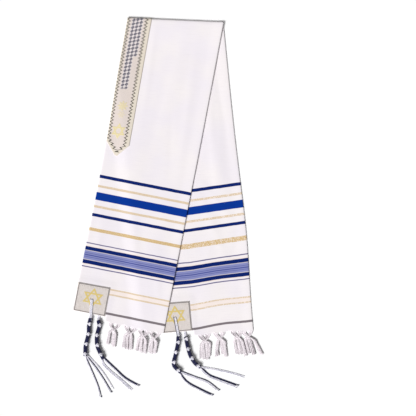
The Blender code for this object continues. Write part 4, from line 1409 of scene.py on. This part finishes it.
def loop_strands(tassel, line):
    """The cords that hold a tassel: over the patch from its eyelet, or from under the hem. One cord of the
    right leg's upper loop is dark, and the others are white."""
    leg = tassel.leg
    start = line[0].to_2d()
    seen = upper_share(leg, tassel.outer) == 1
    if seen:
        along = leg_along(leg, leg.length - EYELET_ABOVE_HEM)
        eye = cloth_point(PATCH_WIDTH / 2, along, tassel.outer)
        middle = eye.to_2d()
        top = eye.z + WALL / 2 + UNDERLAY + TABLE_GAP
        inward = (middle - start).normalized()
        route = (
            (middle, eye.z + 0.0011, 0.0008),
            (middle - inward * 0.0016, eye.z + 0.0026, 0.0013),
            (middle - inward * 0.0070, top + 0.0014, 0.0019),
            (start + inward * 0.0120, top + 0.0014, 0.0019),
            (start - inward * 0.0030, HEAD_HEIGHT + 0.0030, 0.0017),
            (start - inward * 0.0090, HEAD_HEIGHT + 0.0012, 0.0012),
        )
    else:
        downward, sideways = leg_axes(leg)
        across = (start - plan(leg, 0, leg.length)).dot(sideways)
        route = (
            (plan(leg, across, leg.length + TABLE_GAP), 0.0026, 0.0016),
            (plan(leg, across, leg.length + 0.005), 0.0026, 0.0016),
            (start + downward * 0.003, HEAD_HEIGHT, 0.0012),
        )
    spots = [spot.to_3d() + UP * height for spot, height, _ in route]
    side = (spots[-1] - spots[0]).cross(UP).normalized()
    strands = []
    for place in (-1.5, -0.5, 0.5, 1.5):
        points = [spot + side * (place * pitch) for spot, (_, _, pitch) in zip(spots, route)]
        points[1 if seen else 0] += UP * (0.0002 * place)
        paint = 0 if seen and leg is RIGHT and place > 1 else 1
        strands += twisted(curve_through(points, 6), LOOP_TWIST, LOOP_PLY, paint, place)
    return strands


class SHAWL_OT_tassels(Operator):
    """Winds and knots the four corner tassels and lets their strings trail on the table"""

    bl_idname = "shawl.tassels"
    bl_label = "Tassels"

    def execute(self, context):
        look = context.scene.shawl_cord
        dark = yarn_finish("tassel_dark_cord", look.dark_cord, look.dark_cord_shade)
        white = yarn_finish("tassel_white_cord", look.white_cord, look.white_cord_shade)
        for tassel in TASSELS:
            line = curve_through([Vector((x, y, HEAD_HEIGHT)) for x, y in tassel.head], 5)
            strings = string_strands(tassel, line) + loop_strands(tassel, line)
            for part, strands in (("_head", head_strands(tassel, line, look)), ("_strings", strings)):
                mesh = strand_mesh(tassel.name + part, [dark, white], strands)
                finish_piece(tassel.name + part, mesh, tassel.name)
        return {"FINISHED"}


class SHAWL_OT_stage(Operator):
    """Sets the pale table, the soft lights and the camera straight above"""

    bl_idname = "shawl.stage"
    bl_label = "Table, lights and camera"

    def execute(self, context):
        scene = context.scene
        look = scene.shawl_stage
        bm = bmesh.new()
        bmesh.ops.create_grid(bm, x_segments=8, y_segments=8, size=look.table_size)
        table = new_object("table", mesh_of(bm, "table", table_finish(look.table_colour)))
        sun = new_object("main_light", bpy.data.lights.new("main_light", "SUN"))
        sun.data.energy = look.sun_power
        sun.data.angle = look.sun_softness
        towards = Vector((-math.sin(look.sun_side), -math.cos(look.sun_side), math.tan(look.sun_height)))
        sun.rotation_euler = towards.to_track_quat("Z", "Y").to_euler()
        scene.world = bpy.data.worlds.new("even_light")
        scene.world.use_nodes = True
        sky = scene.world.node_tree.nodes["Background"]
        sky.inputs["Color"].default_value = (1, 1, 1, 1)
        sky.inputs["Strength"].default_value = look.sky_power
        camera = new_object("camera", bpy.data.cameras.new("camera"))
        camera.data.lens = look.focal_length
        camera.data.sensor_width = SENSOR
        camera.data.clip_end = VIEW_REACH
        camera.location = (*VIEW_MIDDLE, look.frame_width * look.focal_length / SENSOR)
        scene.camera = camera
        scene.view_settings.view_transform = "Standard"
        return {"FINISHED"}


GROUPS = {
    "shawl_cloth": (ShawlClothSettings, SHAWL_OT_cloth),
    "shawl_trim": (ShawlTrimSettings, SHAWL_OT_neckband, SHAWL_OT_corner_patches),
    "shawl_cord": (ShawlCordSettings, SHAWL_OT_fringes, SHAWL_OT_tassels),
    "shawl_stage": (ShawlStageSettings, SHAWL_OT_stage),
}


class VIEW3D_PT_shawl(Panel):
    """The shawl's pieces and what a user would change on them"""

    bl_label = "Folded prayer shawl"
    bl_space_type = "VIEW_3D"
    bl_region_type = "UI"
    bl_category = "Shawl"

    def draw(self, context):
        for name, (_, *operators) in GROUPS.items():
            box = self.layout.box()
            for operator in operators:
                box.operator(operator.bl_idname)
            look = getattr(context.scene, name)
            for setting in look.__annotations__:
                box.prop(look, setting)


CLASSES = [one for group in GROUPS.values() for one in group] + [VIEW3D_PT_shawl]


def register():
    for one in CLASSES:
        bpy.utils.register_class(one)
    for name, (settings, *_) in GROUPS.items():
        setattr(bpy.types.Scene, name, PointerProperty(type=settings))


def unregister():
    for name in GROUPS:
        delattr(bpy.types.Scene, name)
    for one in reversed(CLASSES):
        bpy.utils.unregister_class(one)


def declare_cloth():
    """Gathers the pieces that stand in for solids, other than the cloth, and does nothing more with them."""
    trims = [piece for piece in bpy.data.objects if "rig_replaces" in piece and piece.name != "cloth"]


def main():
    register()
    bpy.ops.shawl.cloth()
    bpy.ops.shawl.neckband()
    bpy.ops.shawl.corner_patches()
    bpy.ops.shawl.fringes()
    bpy.ops.shawl.tassels()
    bpy.ops.shawl.stage()
    declare_cloth()


if __name__ == "__main__":
    main()
